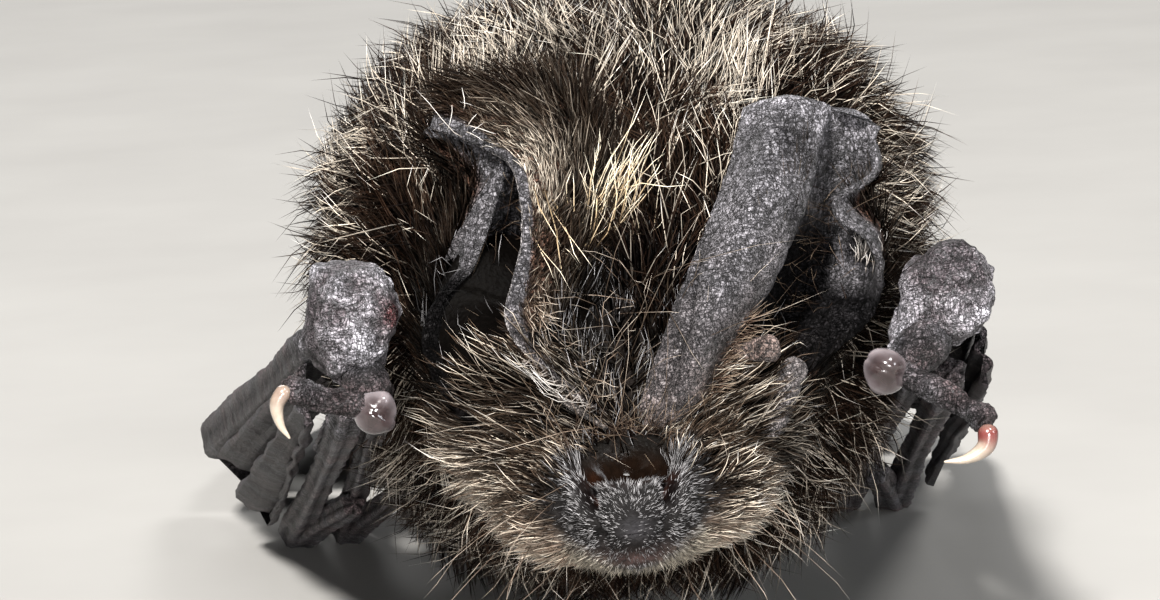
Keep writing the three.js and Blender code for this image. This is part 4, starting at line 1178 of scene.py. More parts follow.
def arm_membrane(side, elbow, ankle, seed, place):
    """Skin between elbow, body and ankle, draped in soft folds."""
    rim = [elbow + [0.2, 1.6, 0.3], [13.6, 56, 2.2], ankle + [1.3, -1.5, 0.1]]
    leg = [[7.4, 47.5, 5], [9.6, 52.5, 5.2], ankle]
    surface, along, across = spanned(leg, rim, 46, 30)
    surface[..., 2] += 0.45 * np.sin(across * 3 * np.pi) * np.sin(along * np.pi)[:, None]
    surface = above(surface, 0.12)
    return membrane(on_side(side, surface), 0.16, seed + 50, place, 0.5)


def ankle_place():
    drop, inward = KNEE[2] - 1.2, 2.3
    back = math.sqrt(SHIN_LENGTH ** 2 - drop ** 2 - inward ** 2)
    return np.array([KNEE[0] - inward, KNEE[1] + back, 1.2])


def make_leg(side, cells, seed):
    ankle = ankle_place()
    hip, knee = np.array(HIP), np.array(KNEE)
    parts = []

    def add(points, radii, relief, **shape):
        number = seed + len(parts)
        parts.append(rough_limb(on_side(side, points), radii, number, relief, next(cells), **shape))
        above(parts[-1].grid, GROUND_GAP)

    fine = ridges(0.015, 0.4)
    heel = ankle + [0, 0.3, -0.45]
    add([hip, hip + (knee - hip) * 0.6, knee, knee + (ankle - knee) * 0.4, ankle, heel],
        [1.8, 1.3, 0.92, 0.74, 0.58, 0.5], fine, steps=160, around=26)
    roots = ankle + TOE_ROOTS
    add([heel, (heel + roots) / 2, roots], [0.7, 0.85, 0.85], wart_relief_small,
        steps=50, around=40, squash=1.2)
    for toe in TOES:
        root, path = toe_path(toe, ((1.6, 0.62), (2.9, 0.5)))
        add([root, *path], [0.34, 0.33, 0.26], ridges(0.02, 0.22), steps=50, around=18)
    return parts


def toe_path(toe, places):
    """A toe's root, and points along it. places gives each one's distance from the root and its height."""
    spread = math.radians(18 + toe * 13)
    root = ankle_place() + TOE_ROOTS + [toe * 0.42, -0.2, -0.05]
    return root, [[root[0] + length * math.sin(spread), root[1] + length * math.cos(spread), z]
                  for length, z in places]


def toe_claws(side):
    """The five toe claws' paths."""
    for toe in TOES:
        yield on_side(side, toe_path(toe, ((2.7, 0.56), (3.5, 0.55), (4.1, 0.12)))[1])


def make_tail(cells):
    x, y, z = TAIL_ROOT
    path = [[x, y, z], [x, y + 6, 1.1], [x, y + 22, 0.6], [x, y + TAIL_LENGTH, 0.4]]
    parts = [rough_limb(path, [1.0, 0.75, 0.52, 0.3], 71, ridges(0.02, 0.5), next(cells),
                        steps=180, around=22)]
    above(parts[0].grid, GROUND_GAP)
    ankle = ankle_place()
    for side in (1, -1):
        tail_line = [[0.3, 51.5, 2.6], [0.4, 60, 1], [0.4, 76, 0.8], [0.4, 89, 0.6]]
        leg_line = [[6.4, 50.5, 4.6], np.array(KNEE) + [-0.5, 4.5, -1.1], ankle + [-0.2, -0.8, 0],
                    [5.6, 79, 0.6]]
        surface, along, across = spanned(tail_line, leg_line, 66, 30)
        surface[..., 2] += 0.35 * np.sin(along * 5 * np.pi)[:, None] * np.sin(across * np.pi)
        surface = above(surface, 0.12)
        parts.append(membrane(on_side(side, surface), 0.16, 80 + side, next(cells)))
    return parts


# ------------------------------------------------------------------ meshes from grids
def grid_faces(rows, columns, first):
    """Quads over a closed tube of points, and the two rings that its caps close."""
    index = first + np.arange(rows * columns).reshape(rows, columns)
    right = np.roll(index, -1, axis=1)
    quads = np.stack([index[:-1], right[:-1], right[1:], index[1:]], axis=-1).reshape(-1, 4)
    return quads, index[0], index[-1]


def new_mesh(name, vertices, faces, sizes, tint, uv, materials, face_materials=None):
    """A mesh object from flat arrays. faces lists vertex numbers, sizes how many each face has."""
    mesh = bpy.data.meshes.new(name)
    mesh.vertices.add(len(vertices))
    mesh.vertices.foreach_set("co", np.asarray(to_model(vertices), np.float32).ravel())
    mesh.loops.add(len(faces))
    mesh.loops.foreach_set("vertex_index", faces.astype(np.int32))
    mesh.polygons.add(len(sizes))
    starts = np.concatenate([[0], np.cumsum(sizes)[:-1]])
    mesh.polygons.foreach_set("loop_start", starts.astype(np.int32))
    mesh.polygons.foreach_set("use_smooth", np.ones(len(sizes), bool))
    if face_materials is not None:
        mesh.polygons.foreach_set("material_index", face_materials.astype(np.int32))
    colours = mesh.color_attributes.new("tint", "FLOAT_COLOR", "POINT")
    if tint.shape[1] == 3:
        tint = np.column_stack([tint, np.zeros(len(tint))])
    colours.data.foreach_set("color", tint.astype(np.float32).ravel())
    layer = mesh.uv_layers.new(name="OFBake")
    layer.uv.foreach_set("vector", uv.astype(np.float32).ravel())
    for material in materials:
        mesh.materials.append(material)
    mesh.update()
    mesh.validate()
    piece = bpy.data.objects.new(name, mesh)
    bpy.context.collection.objects.link(piece)
    return piece


def mesh_from_parts(name, parts, materials):
    """One mesh of several closed tubes, each end closed by a fan."""
    names = list(materials)
    vertices, tints, faces, sizes, uvs, wears = [], [], [], [], [], []
    first = 0
    for part in parts:
        rows, columns = part.grid.shape[:2]
        quads, start, end = grid_faces(rows, columns, first)
        away = part.grid - part.grid.mean(axis=1, keepdims=True)
        inward = np.sum(surface_normals(part.grid, True) * away) < 0
        caps = [part.grid[0].mean(axis=0), part.grid[-1].mean(axis=0)]
        centre = first + rows * columns
        fans = [np.stack([np.roll(start, -1), start, np.full(columns, centre)], axis=-1),
                np.stack([end, np.roll(end, -1), np.full(columns, centre + 1)], axis=-1)]
        row, column = np.divmod(np.arange((rows - 1) * columns), columns)
        corner_rows = np.stack([row, row, row + 1, row + 1], axis=-1)
        corner_columns = np.stack([column, column + 1, column + 1, column], axis=-1)
        quad_uv = part.unwrap(corner_rows, corner_columns)
        ring = np.arange(columns)
        fan_uv = [part.unwrap(np.zeros((columns, 3)), np.stack([ring + 1, ring, ring + 0.5], axis=-1)),
                  part.unwrap(np.full((columns, 3), rows - 1.0),
                              np.stack([ring, ring + 1, ring + 0.5], axis=-1))]
        if not inward:
            quads, quad_uv = quads[:, ::-1], quad_uv[:, ::-1]
            fans, fan_uv = [fan[:, ::-1] for fan in fans], [uv[:, ::-1] for uv in fan_uv]
        vertices += [part.grid.reshape(-1, 3), np.array(caps)]
        tints += [part.tint.reshape(-1, 4), part.tint[0].mean(axis=0)[None], part.tint[-1].mean(axis=0)[None]]
        faces += [quads.ravel(), fans[0].ravel(), fans[1].ravel()]
        uvs += [quad_uv.reshape(-1, 2), fan_uv[0].reshape(-1, 2), fan_uv[1].reshape(-1, 2)]
        sizes += [np.full(len(quads), 4), np.full(2 * columns, 3)]
        wears.append(np.full(len(quads) + 2 * columns, names.index(part.material)))
        first += rows * columns + 2
    return new_mesh(name, np.concatenate(vertices), np.concatenate(faces), np.concatenate(sizes),
                    np.concatenate(tints), np.concatenate(uvs), list(materials.values()),
                    np.concatenate(wears))


# ------------------------------------------------------------------ the coat
HAIR_COUNTS = {"under": 21500, "crown": 27000, "trunk": 20500, "muzzle": 18500, "cheek": 10500,
               "ear_left": 4500, "ear_right": 11000}
FINE_PIECE = 19000  # the most hairs in a piece of three-point hairs
TUFT_PATCH = 0.003  # how wide a hair's patch is on the unwrap
LOWEST_HAIR = 0.06
class Roots:
    """Where hairs grow: places, normals, the way the coat lies there, and places on the unwrap."""

    def __init__(self, point, normal, flow, uv, **more):
        self.point, self.normal, self.flow, self.uv = point, normal, flow, uv
        self.more = more

    def keep(self, chosen):
        more = {key: value[chosen] for key, value in self.more.items()}
        return Roots(self.point[chosen], self.normal[chosen], self.flow[chosen], self.uv[chosen], **more)


def scatter(part, weight, count, rng, **fields):
    """Random roots on a tube of skin, more of them where weight is larger. fields are read at the roots."""
    grid = part.grid
    columns = grid.shape[1]
    along = grid[1:] - grid[:-1]
    across = (np.roll(grid, -1, axis=1) - grid)[:-1]
    share = np.linalg.norm(np.cross(across, along), axis=-1) * weight[:-1]
    chosen = rng.choice(share.size, count, p=share.ravel() / share.sum())
    row, column = np.divmod(chosen, columns)
    after = (column + 1) % columns
    down, over = rng.random((2, count, 1))

    def read(values):
        values = values if values.ndim == 3 else values[..., None]
        first = values[row, column] * (1 - over) + values[row, after] * over
        second = values[row + 1, column] * (1 - over) + values[row + 1, after] * over
        return first * (1 - down) + second * down

    more = {key: read(value)[:, 0] for key, value in fields.items()}
    flow = unit(np.gradient(grid, axis=0))
    return Roots(read(grid), unit(read(outward_normals(grid))), unit(read(flow)),
                 part.unwrap(row + down[:, 0], column + over[:, 0]), **more)


def turned(vectors, axes, angle):
    """Vectors square to their axes, turned about them."""
    angle = angle[:, None]
    return vectors * np.cos(angle) + np.cross(axes, vectors) * np.sin(angle)


STEPS = np.array([0, 0.36, 0.72, 1.0])


def hair_lines(roots, length, lift, swirl, settle, rng, bend=0.25, steps=STEPS):
    """Each hair's middle line: it leaves the skin at its lift and settles towards the lie of the coat."""
    count = len(length)
    flow = unit(roots.flow - roots.normal * np.sum(roots.flow * roots.normal, axis=1, keepdims=True))
    start_flow = turned(flow, roots.normal, swirl)
    end_flow = turned(flow, roots.normal, swirl + rng.normal(0, bend, count))
    start = start_flow * np.cos(lift)[:, None] + roots.normal * np.sin(lift)[:, None]
    low = lift * settle
    end = end_flow * np.cos(low)[:, None] + roots.normal * np.sin(low)[:, None]
    t = steps[None, :, None]
    line = start[:, None] * (t - t ** 2 / 2) + end[:, None] * (t ** 2 / 2)
    line = roots.point[:, None] - 0.05 * roots.normal[:, None] + line * length[:, None, None]
    side = np.cross(start, roots.normal)[:, None]
    phase = rng.random((count, 1, 1)) * 6.28
    swing = (rng.normal(0, 0.07, (count, 1, 1)) * length[:, None, None])
    return line + side * swing * np.sin(phase + t * 5) * t


def gather(lines, share, strength, rng):
    """Draws hairs towards their tuft's middle hair, more at the tip. share is how many hairs make a tuft."""
    count = len(lines)
    middles = rng.choice(count, max(1, int(count / share)), replace=False)
    tree = tree_of(lines[middles, 0])
    own = np.array([middles[tree.find(line[0])[1]] for line in lines])
    points = lines.shape[1]
    t = (STEPS if points == len(STEPS) else np.linspace(0, 1, points))[None, :, None]
    beside = (lines[:, :1] - lines[own, :1]) * (1 - 0.8 * t)
    pull = strength * rng.uniform(0.5, 1.0, (count, 1, 1)) * t ** 1.3
    return lines + (lines[own] + beside - lines) * pull, own


def add_hairs(name, lines, uv, width, tint, material, rng, taper=(1, 0.95, 0.6), most=12000):
    """Solid three-sided hairs round their middle lines, in pieces of at most so many hairs.
    width is at the root of each hair, and tint has a colour for each point of each line."""
    count, points = lines.shape[:2]
    lines = lines.copy()
    lines[..., 2] = np.maximum(lines[..., 2], LOWEST_HAIR)
    tangent = unit(np.gradient(lines, axis=1))
    reference = unit(np.cross(tangent[:, 0], rng.normal(size=(count, 3))))
    across = unit(np.cross(tangent, reference[:, None]))
    over = np.cross(tangent, across)
    rings = points - 1
    taper = np.interp(np.linspace(0, 1, rings), np.linspace(0, 1, len(taper)), taper)
    angle = np.arange(3) / 3 * 2 * np.pi
    radius = (width / 2)[:, None, None, None] * taper[None, :, None, None]
    ring = lines[:, :rings, None] + radius * (np.cos(angle)[None, None, :, None] * across[:, :rings, None]
                                              + np.sin(angle)[None, None, :, None] * over[:, :rings, None])
    vertices = np.concatenate([ring.reshape(count, -1, 3), lines[:, -1:]], axis=1)
    colours = np.concatenate([np.repeat(tint[:, :rings], 3, axis=1), tint[:, -1:]], axis=1)
    per_hair = rings * 3 + 1
    faces, sizes, spot = [0, 2, 1], [3], [(0, 0), (1, 0), (0.5, 0)]
    for level in range(rings - 1):
        for k in range(3):
            first = level * 3
            faces += [first + k, first + (k + 1) % 3, first + 3 + (k + 1) % 3, first + 3 + k]
            spot += [(k / 3, level / rings), ((k + 1) / 3, level / rings),
                     ((k + 1) / 3, (level + 1) / rings), (k / 3, (level + 1) / rings)]
            sizes.append(4)
    first = (rings - 1) * 3
    for k in range(3):
        faces += [first + k, first + (k + 1) % 3, per_hair - 1]
        spot += [(k / 3, (rings - 1) / rings), ((k + 1) / 3, (rings - 1) / rings), ((k + 0.5) / 3, 1)]
        sizes.append(3)
    faces, spot = np.array(faces), (np.array(spot) - 0.5) * TUFT_PATCH
    order = np.argsort(lines[:, 0, 1], kind="stable")
    for number, begin in enumerate(range(0, count, most)):
        chosen = order[begin:begin + most]
        size = len(chosen)
        piece_faces = (faces[None] + per_hair * np.arange(size)[:, None]).ravel()
        piece_uv = np.clip(uv[chosen][:, None] + spot[None], 0, 1).reshape(-1, 2)
        piece = new_mesh(f"{name}_{number + 1}", vertices[chosen].reshape(-1, 3), piece_faces,
                         np.tile(sizes, size), colours[chosen].reshape(-1, 3), piece_uv, [material])
        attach(piece, "root")


VOID = np.array([-1.6, 5.5, 13.4])  # the dark hollow between the ears' roots
EAR_MOUTH = np.array([4, 6.5, 10.1])  # the dark mouth of the left ear
EAR_MOUTH_REACH = [2.4, 2.8, 1.9]
ROOT_COLOUR, BROWN, STRAW, CREAM = srgb(4, 3, 3), srgb(60, 42, 32), srgb(172, 144, 110), srgb(255, 250, 238)
# Where the coat's tips are palest, and where painted shade keeps them dark (negative amounts): [place,
# radius, amount]
PALE_SPOTS = [([3, 14, 20.6], 2.6, 0.65), ([4, 12, 19.9], 1.6, 0.4), ([-4.2, 15, 21.8], 2.2, 0.6),
              ([-8.8, 17, 18.4], 2, 0.45), ([-8.4, 16, 16], 1.6, 0.3), ([-0.7, 8, 17.3], 1.2, 0.4),
              ([-2.6, 7.6, 16.9], 0.9, 0.3), ([9, 16, 18.2], 2, 0.25), ([8.6, 15, 15.7], 1.6, 0.15),
              ([-1.9, 13, 20.6], 1.2, -0.6), ([-6.5, 14, 17], 2.2, -0.35), ([-1.6, 6, 13.9], 2.2, -0.5),
              ([5.5, 11, 19.9], 1.4, -0.35), ([5.3, 7, 10.2], 2.2, -0.5), ([-7, 6.5, 7.9], 2.6, 0.65),
              ([-5, 5, 7.5], 2, 0.65), ([4.4, 6, 7.6], 1.8, 0.45)]
# Where the coat is in deep shade: [place, radii, amount]
SHADES = [(VOID, [2.1, 3.2, 2.6], 0.985), ([-5.6, 7, 11.4], [1.8, 2.5, 0.9], 0.8),
          ([-7.3, 10, 14.4], [1.1, 3, 1.9], 0.55), ([-1.8, 12.5, 20.5], [1.6, 2.5, 0.55], 0.8),
          ([3.9, 6.4, 10], [2.2, 2.8, 1.35], 0.96), ([-1.6, 4.8, 11.4], [1.9, 1.8, 0.9], 0.8),
          ([2.2, 6, 10.5], [1.6, 2, 1], 0.85), ([3, 4.8, 9.5], [2.3, 1.8, 1.0], 0.85)]
# Where it is beige down to the roots: [place, radii, amount]
BEIGE_SPOTS = [([-2.9, 2.2, 7.5], [1.4, 1.8, 1.1], 0.8), ([1.2, 2.2, 7.5], [1.4, 1.8, 1.1], 0.7),
               ([-6.6, 6.4, 7.6], [2.6, 2.6, 1.7], 0.6), ([-4.2, 4, 7.4], [1.8, 2.2, 1.3], 0.7),
               ([4, 6, 7.6], [2, 2.4, 1.4], 0.5)]
EAR_FOOT = np.array([-2.8, 4.8, 12])  # where the right ear's margin runs down over the brow


def paleness(place, extra, rng):
    """How pale each hair's tip is, from 0 to 1. Most are dark and some bright, with more bright ones in
    drifts and where extra says so."""
    chance = 0.14 + 0.12 * smooth_noise(place, 2.4, 8) + 0.24 * smooth_noise(place, 0.7, 9) + extra
    for spot, radius, amount in PALE_SPOTS:
        chance += amount * np.exp(-np.sum((place - spot) ** 2, axis=1) / radius ** 2)
    for spot, radii, amount in SHADES:
        chance -= amount * near(place, spot, radii)
    count = len(place)
    bright = rng.random(count) < np.clip(chance, 0.02, 0.9)
    return np.where(bright, rng.uniform(0.55, 1.0, count), rng.uniform(0, 0.12, count))


def fur_tint(pale, count, rng, points=4, root=ROOT_COLOUR, middle=BROWN):
    """Colours along each hair, from its root through its middle to a tip as pale as asked, from 0 to 1."""
    pale = np.clip(pale, 0, 1)[:, None]
    tip = middle * (1 - pale) + (STRAW * (1 - pale) + CREAM * pale) * pale
    mid = middle * rng.uniform(0.06, 0.45, (count, 1)) * (1 - 0.6 * pale) + (STRAW + CREAM) * 0.34 * pale ** 2
    tint = np.stack([np.broadcast_to(root, (count, 3)), root + (mid - root) * 0.2, mid, tip], axis=1)
    if points == 3:
        tint = tint[:, [0, 2, 3]]
    share = np.where(pale > 0.4, rng.uniform(0.95, 1.6, (count, 1)), rng.uniform(0.06, 1.1, (count, 1)))
    return np.minimum(tint * share[..., None], 0.95)


def clear_of_ears(lines, ears, reach_out):
    """Which hairs stay clear of the ears' hollows and don't come through their leather."""
    fine = np.ones(len(lines), bool)
    for surface, out in ears:
        flat, flat_out = from_head(surface.reshape(-1, 3)), out.reshape(-1, 3) @ HEAD_AXES.T
        columns = surface.shape[1]
        tree = tree_of(flat)
        low, high = flat.min(axis=0) - 1, flat.max(axis=0) + 1
        close = np.any(np.all((lines > low) & (lines < high), axis=2), axis=1)
        for i in np.flatnonzero(close):
            for point in lines[i, 1:]:
                _, index, distance = tree.find(point)
                column = index % columns
                if column < 2 or column > columns - 3:
                    continue
                depth = np.dot(point - flat[index], flat_out[index])
                if -0.15 < depth and distance < reach_out:
                    fine[i] = False
                    break
    return fine


def crown_weight(body, start, end):
    """Where the head's coat grows: from the muzzle's end back to the shoulders."""
    y = to_head(body.grid)[..., 1]
    weight = rising(y, start, 1.5) * np.clip((end - body.grid[..., 1]) / 6, 0, 1)
    open_ground = 1 - 0.95 * near(body.grid, VOID, [2.2, 3, 2.6])
    open_ground *= 1 - 0.92 * near(body.grid, EAR_MOUTH, [2, 2.6, 1.5])
    open_ground *= 1 - 0.7 * near(body.grid, EAR_FOOT, [1.3, 2, 0.8])
    for side in (1, -1):
        open_ground *= 1 - near(to_head(body.grid), EYE_CENTRE * [side, 1, 1], [1, 1, 1])
    return weight * np.where(body.grid[..., 2] < 6, 0.4, 1) * ~body.bare * open_ground


CROWN_LENGTH = np.array([[2.6, 0.7], [4.4, 1.4], [6, 2.1], [8, 2.8], [13, 3.5]])
CROWN_LIFT = np.array([[2.6, 20], [6, 33], [10, 43], [16, 40]])
THREE_STEPS = np.array([0, 0.5, 1.0])


def shaded(tint, lines):
    """Hair colours, beige down to the roots on the lower cheeks, and dark for the hair in deep shade."""
    light = np.ones(len(lines))
    for place, radii, amount in BEIGE_SPOTS:
        share = amount * near(lines[:, 1], place, radii)[:, None, None]
        tint = tint * (1 - share) + np.maximum(tint, srgb(150, 130, 114) * 0.8) * share
    for place, radii, amount in SHADES:
        light *= 1 - amount * near(lines[:, 1], place, radii)
    return tint * light[:, None, None]


def shorter_by_ears(place, foot_share):
    """What is left of a hair's length at the right ear's foot and the left ear's mouth."""
    share = 1 - foot_share * near(place, EAR_FOOT, [1.8, 2.5, 1.4])
    return share * (1 - 0.72 * near(place, EAR_MOUTH, EAR_MOUTH_REACH))


def grow_underfur(body, ears, material, rng):
    """Dense dark underfur of the head and neck."""
    roots = scatter(body, crown_weight(body, 3, 24), HAIR_COUNTS["under"], rng)
    count = len(roots.point)
    y = to_head(roots.point)[:, 1]
    length = between(y, CROWN_LENGTH) * rng.uniform(0.5, 0.85, count)
    length *= shorter_by_ears(roots.point, 0.5)
    lift = np.radians(between(y, CROWN_LIFT)) * rng.uniform(0.7, 1.3, count)
    swirl = coat_swirl(roots.point, rng, 0.25)
    lines = hair_lines(roots, length, lift, swirl, 0.45, rng, steps=THREE_STEPS)
    lines, _ = gather(lines, 12, 0.7, rng)
    fine = clear_of_ears(lines, ears, 1.6)
    roots, lines = roots.keep(fine), lines[fine]
    count = len(lines)
    tint = fur_tint(rng.normal(-0.05, 0.08, count), count, rng, 3, middle=srgb(22, 15, 12))
    width = 0.08 * rng.uniform(0.7, 1.3, count)
    add_hairs("fur_under", lines, roots.uv, width, shaded(tint, lines), material, rng,
              taper=(1, 0.85), most=FINE_PIECE)


def coat_swirl(point, rng, spread):
    """How far the coat turns from lying straight back, in drifts and by hair."""
    return (0.7 * smooth_noise(point, 3.4, 4) + 0.75 * smooth_noise(point, 1.2, 5)
            + rng.normal(0, spread, len(point)))


def grow_guard_hairs(body, ears, material, rng):
    """Longer guard hairs over the head and neck, gathered in tufts, some of them with bright cream tips."""
    roots = scatter(body, crown_weight(body, 2.6, 24), HAIR_COUNTS["crown"], rng)
    count = len(roots.point)
    y = to_head(roots.point)[:, 1]
    stray = rng.random(count) < 0.16
    length = between(y, CROWN_LENGTH) * rng.uniform(0.75, 1.2, count) * np.where(stray, 1.1, 1)
    length = length * np.where((to_head(roots.point)[:, 2] < 0.5) & (y < 9), 0.75, 1)
    length *= shorter_by_ears(roots.point, 0.55)
    lift = np.radians(between(y, CROWN_LIFT)) * np.where(stray, rng.uniform(0.5, 1.7, count),
                                                         rng.uniform(0.75, 1.25, count))
    swirl = coat_swirl(roots.point, rng, 0.16) + np.where(stray, rng.normal(0, 0.6, count), 0)
    lines = hair_lines(roots, length, lift, swirl, 0.4, rng, bend=0.6)
    drawn, own = gather(lines, 12, 0.88, rng)
    lines = np.where(stray[:, None, None], lines, drawn)
    luck = np.where(stray, 0.2, rng.uniform(-0.32, 0.36, count)[own])
    fine = clear_of_ears(lines, ears, 1.6)
    roots, lines, luck = roots.keep(fine), lines[fine], luck[fine]
    count = len(lines)
    pale = paleness(lines[:, -1], luck, rng)
    width = np.where(pale > 0.4, 0.043, 0.05) * rng.uniform(0.7, 1.3, count)
    tint = shaded(fur_tint(pale, count, rng), lines)
    add_hairs("fur_crown", lines, roots.uv, width, tint, material, rng)


def grow_trunk(body, material, rng):
    """The back's, sides' and belly's fur, in broader tufts lying towards the tail."""
    grid = body.grid
    weight = np.clip((grid[..., 1] - 17) / 6, 0, 1) * np.where(grid[..., 2] < 2, 0.5, 1)
    roots = scatter(body, weight, HAIR_COUNTS["trunk"], rng)
    count = len(roots.point)
    length = rng.uniform(3.8, 6.2, count) * np.where(roots.point[:, 2] < 4, 0.75, 1)
    lift = np.radians(23) * rng.uniform(0.6, 1.4, count)
    swirl = 0.4 * smooth_noise(roots.point, 5, 14) + 0.3 * smooth_noise(roots.point, 2, 15) \
        + rng.normal(0, 0.12, count)
    lines = hair_lines(roots, length, lift, swirl, 0.4, rng, steps=THREE_STEPS)
    lines, own = gather(lines, 10, 0.8, rng)
    pale = paleness(lines[:, -1], rng.uniform(-0.2, 0.2, count)[own], rng)
    width = 0.155 * rng.uniform(0.6, 1.3, count)
    add_hairs("fur_trunk", lines, roots.uv, width, fur_tint(pale, count, rng, 3), material, rng,
              taper=(1, 0.8), most=FINE_PIECE)


def muzzle_cover(local):
    """Where hair grows on the muzzle: not in the hollow, in the nostrils or on the bald spot."""
    bald_spot = near(local, [0.05, 0.1, -0.2], [0.4, 0.5, 0.3])
    cover = np.clip(1 - 1.8 * nose_hollow(local) - 1.3 * bald_spot, 0, 1)
    cover = cover * (1 - 0.85 * near(local, [-1.7, 1.75, 0.5], [0.5, 0.8, 0.6]))
    for side in (1, -1):
        cover = cover * (1 - np.clip(2 * nostril_slit(local, side), 0, 1))
    return cover


def lip_share(local):
    """1 along the pale fringe of the lower lip."""
    x, y, z = np.abs(local[..., 0]), local[..., 1], local[..., 2]
    lip = np.clip((0.4 * x - 1.3 - z) / 0.6, 0, 1) * falling(y, 3.5, 1)
    return lip * ramp_up(x - 1.2 * (z + 2), -0.6, 0.3)


def grow_velvet(body, material, rng):
    """Short silvery velvet on the front of the muzzle, cream along the lower lip."""
    local = to_head(body.grid)
    front = np.clip((2.2 - np.abs(local[..., 0])) / 0.7, 0.12, 1)
    front = front * np.clip((2.6 - local[..., 1]) / 0.7, 0.04, 1)
    roots = scatter(body, muzzle_cover(local) * front, HAIR_COUNTS["muzzle"], rng)
    local = to_head(roots.point)
    count = len(local)
    outward = local * [1, 0.3, 1] - [0, 0, 0.3]
    roots.flow = unit(unit(roots.flow) + 0.9 * unit(outward @ HEAD_AXES.T))
    length = between(local[:, 1], np.array([[-0.2, 0.17], [1, 0.28], [2.5, 0.6], [4.5, 1]]))
    lip = lip_share(local)
    length = length * rng.uniform(0.7, 1.6, count) * (1 + 1.5 * lip * rng.random(count))
    lift = np.radians(26) * rng.uniform(0.4, 1.8, count)
    swirl = 0.5 * smooth_noise(roots.point, 0.7, 24) + rng.normal(0, 0.25, count)
    lines = hair_lines(roots, length, lift, swirl, 0.5, rng, steps=THREE_STEPS)
    lines, _ = gather(lines, 5, 0.6, rng)
    tip = srgb(190, 188, 190) * (1 - lip[:, None]) + srgb(250, 238, 216) * lip[:, None]
    bright = rng.random((count, 1)) < 0.66 + 0.25 * lip[:, None]
    tip = tip * np.where(bright, rng.uniform(0.2, 1.2, (count, 1)), 0.06)
    dark = np.broadcast_to(srgb(10, 9, 9), tip.shape)
    tint = np.stack([dark, dark * 0.5 + tip * 0.4, tip], axis=1)
    width = 0.019 * rng.uniform(0.6, 1.4, count)
    add_hairs("fur_muzzle", lines, roots.uv, width, tint, material, rng, taper=(1, 0.8), most=FINE_PIECE)


def grow_cheeks(body, material, rng):
    """Longer hair on the sides of the muzzle, sweeping outwards, with frayed beige tips."""
    local = to_head(body.grid)
    beside = ramp_up(np.abs(local[..., 0]) + 0.7 * np.clip(local[..., 1] - 1.5, 0, 4), 1.2, 2.2)
    weight = muzzle_cover(local) * beside
    weight = weight * ramp_up(6.5 - local[..., 1], 0, 1.5) * ramp_up(local[..., 1], 0.4, 1.4)
    weight = weight * ramp_up(2.6 - local[..., 2], 0, 1) * (1 + 1.6 * lip_share(local))
    roots = scatter(body, weight, HAIR_COUNTS["cheek"], rng)
    local = to_head(roots.point)
    count = len(local)
    outward = unit(np.column_stack(
        [np.sign(local[:, 0]) * 1.2, np.full(count, 0.5), local[:, 2] * 0.25 - 0.35]))
    roots.flow = unit(0.5 * unit(roots.flow) + outward @ HEAD_AXES.T)
    length = between(np.abs(local[:, 0]) + 0.4 * local[:, 1], np.array([[1.2, 0.5], [2.5, 1.1], [5, 2.2]]))
    length = length * rng.uniform(0.6, 1.3, count)
    lift = np.radians(24) * rng.uniform(0.4, 1.9, count)
    swirl = 0.4 * smooth_noise(roots.point, 0.9, 25) + rng.normal(0, 0.25, count)
    lines = hair_lines(roots, length, lift, swirl, 0.5, rng)
    lines, _ = gather(lines, 7, 0.8, rng)
    low = ramp_up(-local[:, 2], -0.3, 2.2)
    bright = rng.random(count) < 0.22 + 0.7 * low
    pale = np.where(bright, rng.uniform(0.5, 1, count), rng.uniform(0, 0.14, count))
    length_share = 1 - 0.7 * near(roots.point, EAR_MOUTH, EAR_MOUTH_REACH)[:, None, None]
    lines = lines[:, :1] + (lines - lines[:, :1]) * length_share
    width = 0.034 * rng.uniform(0.7, 1.3, count)
    tint = shaded(fur_tint(pale, count, rng, middle=srgb(112, 92, 76)), lines)
    add_hairs("fur_cheek", lines, roots.uv, width, tint, material, rng)


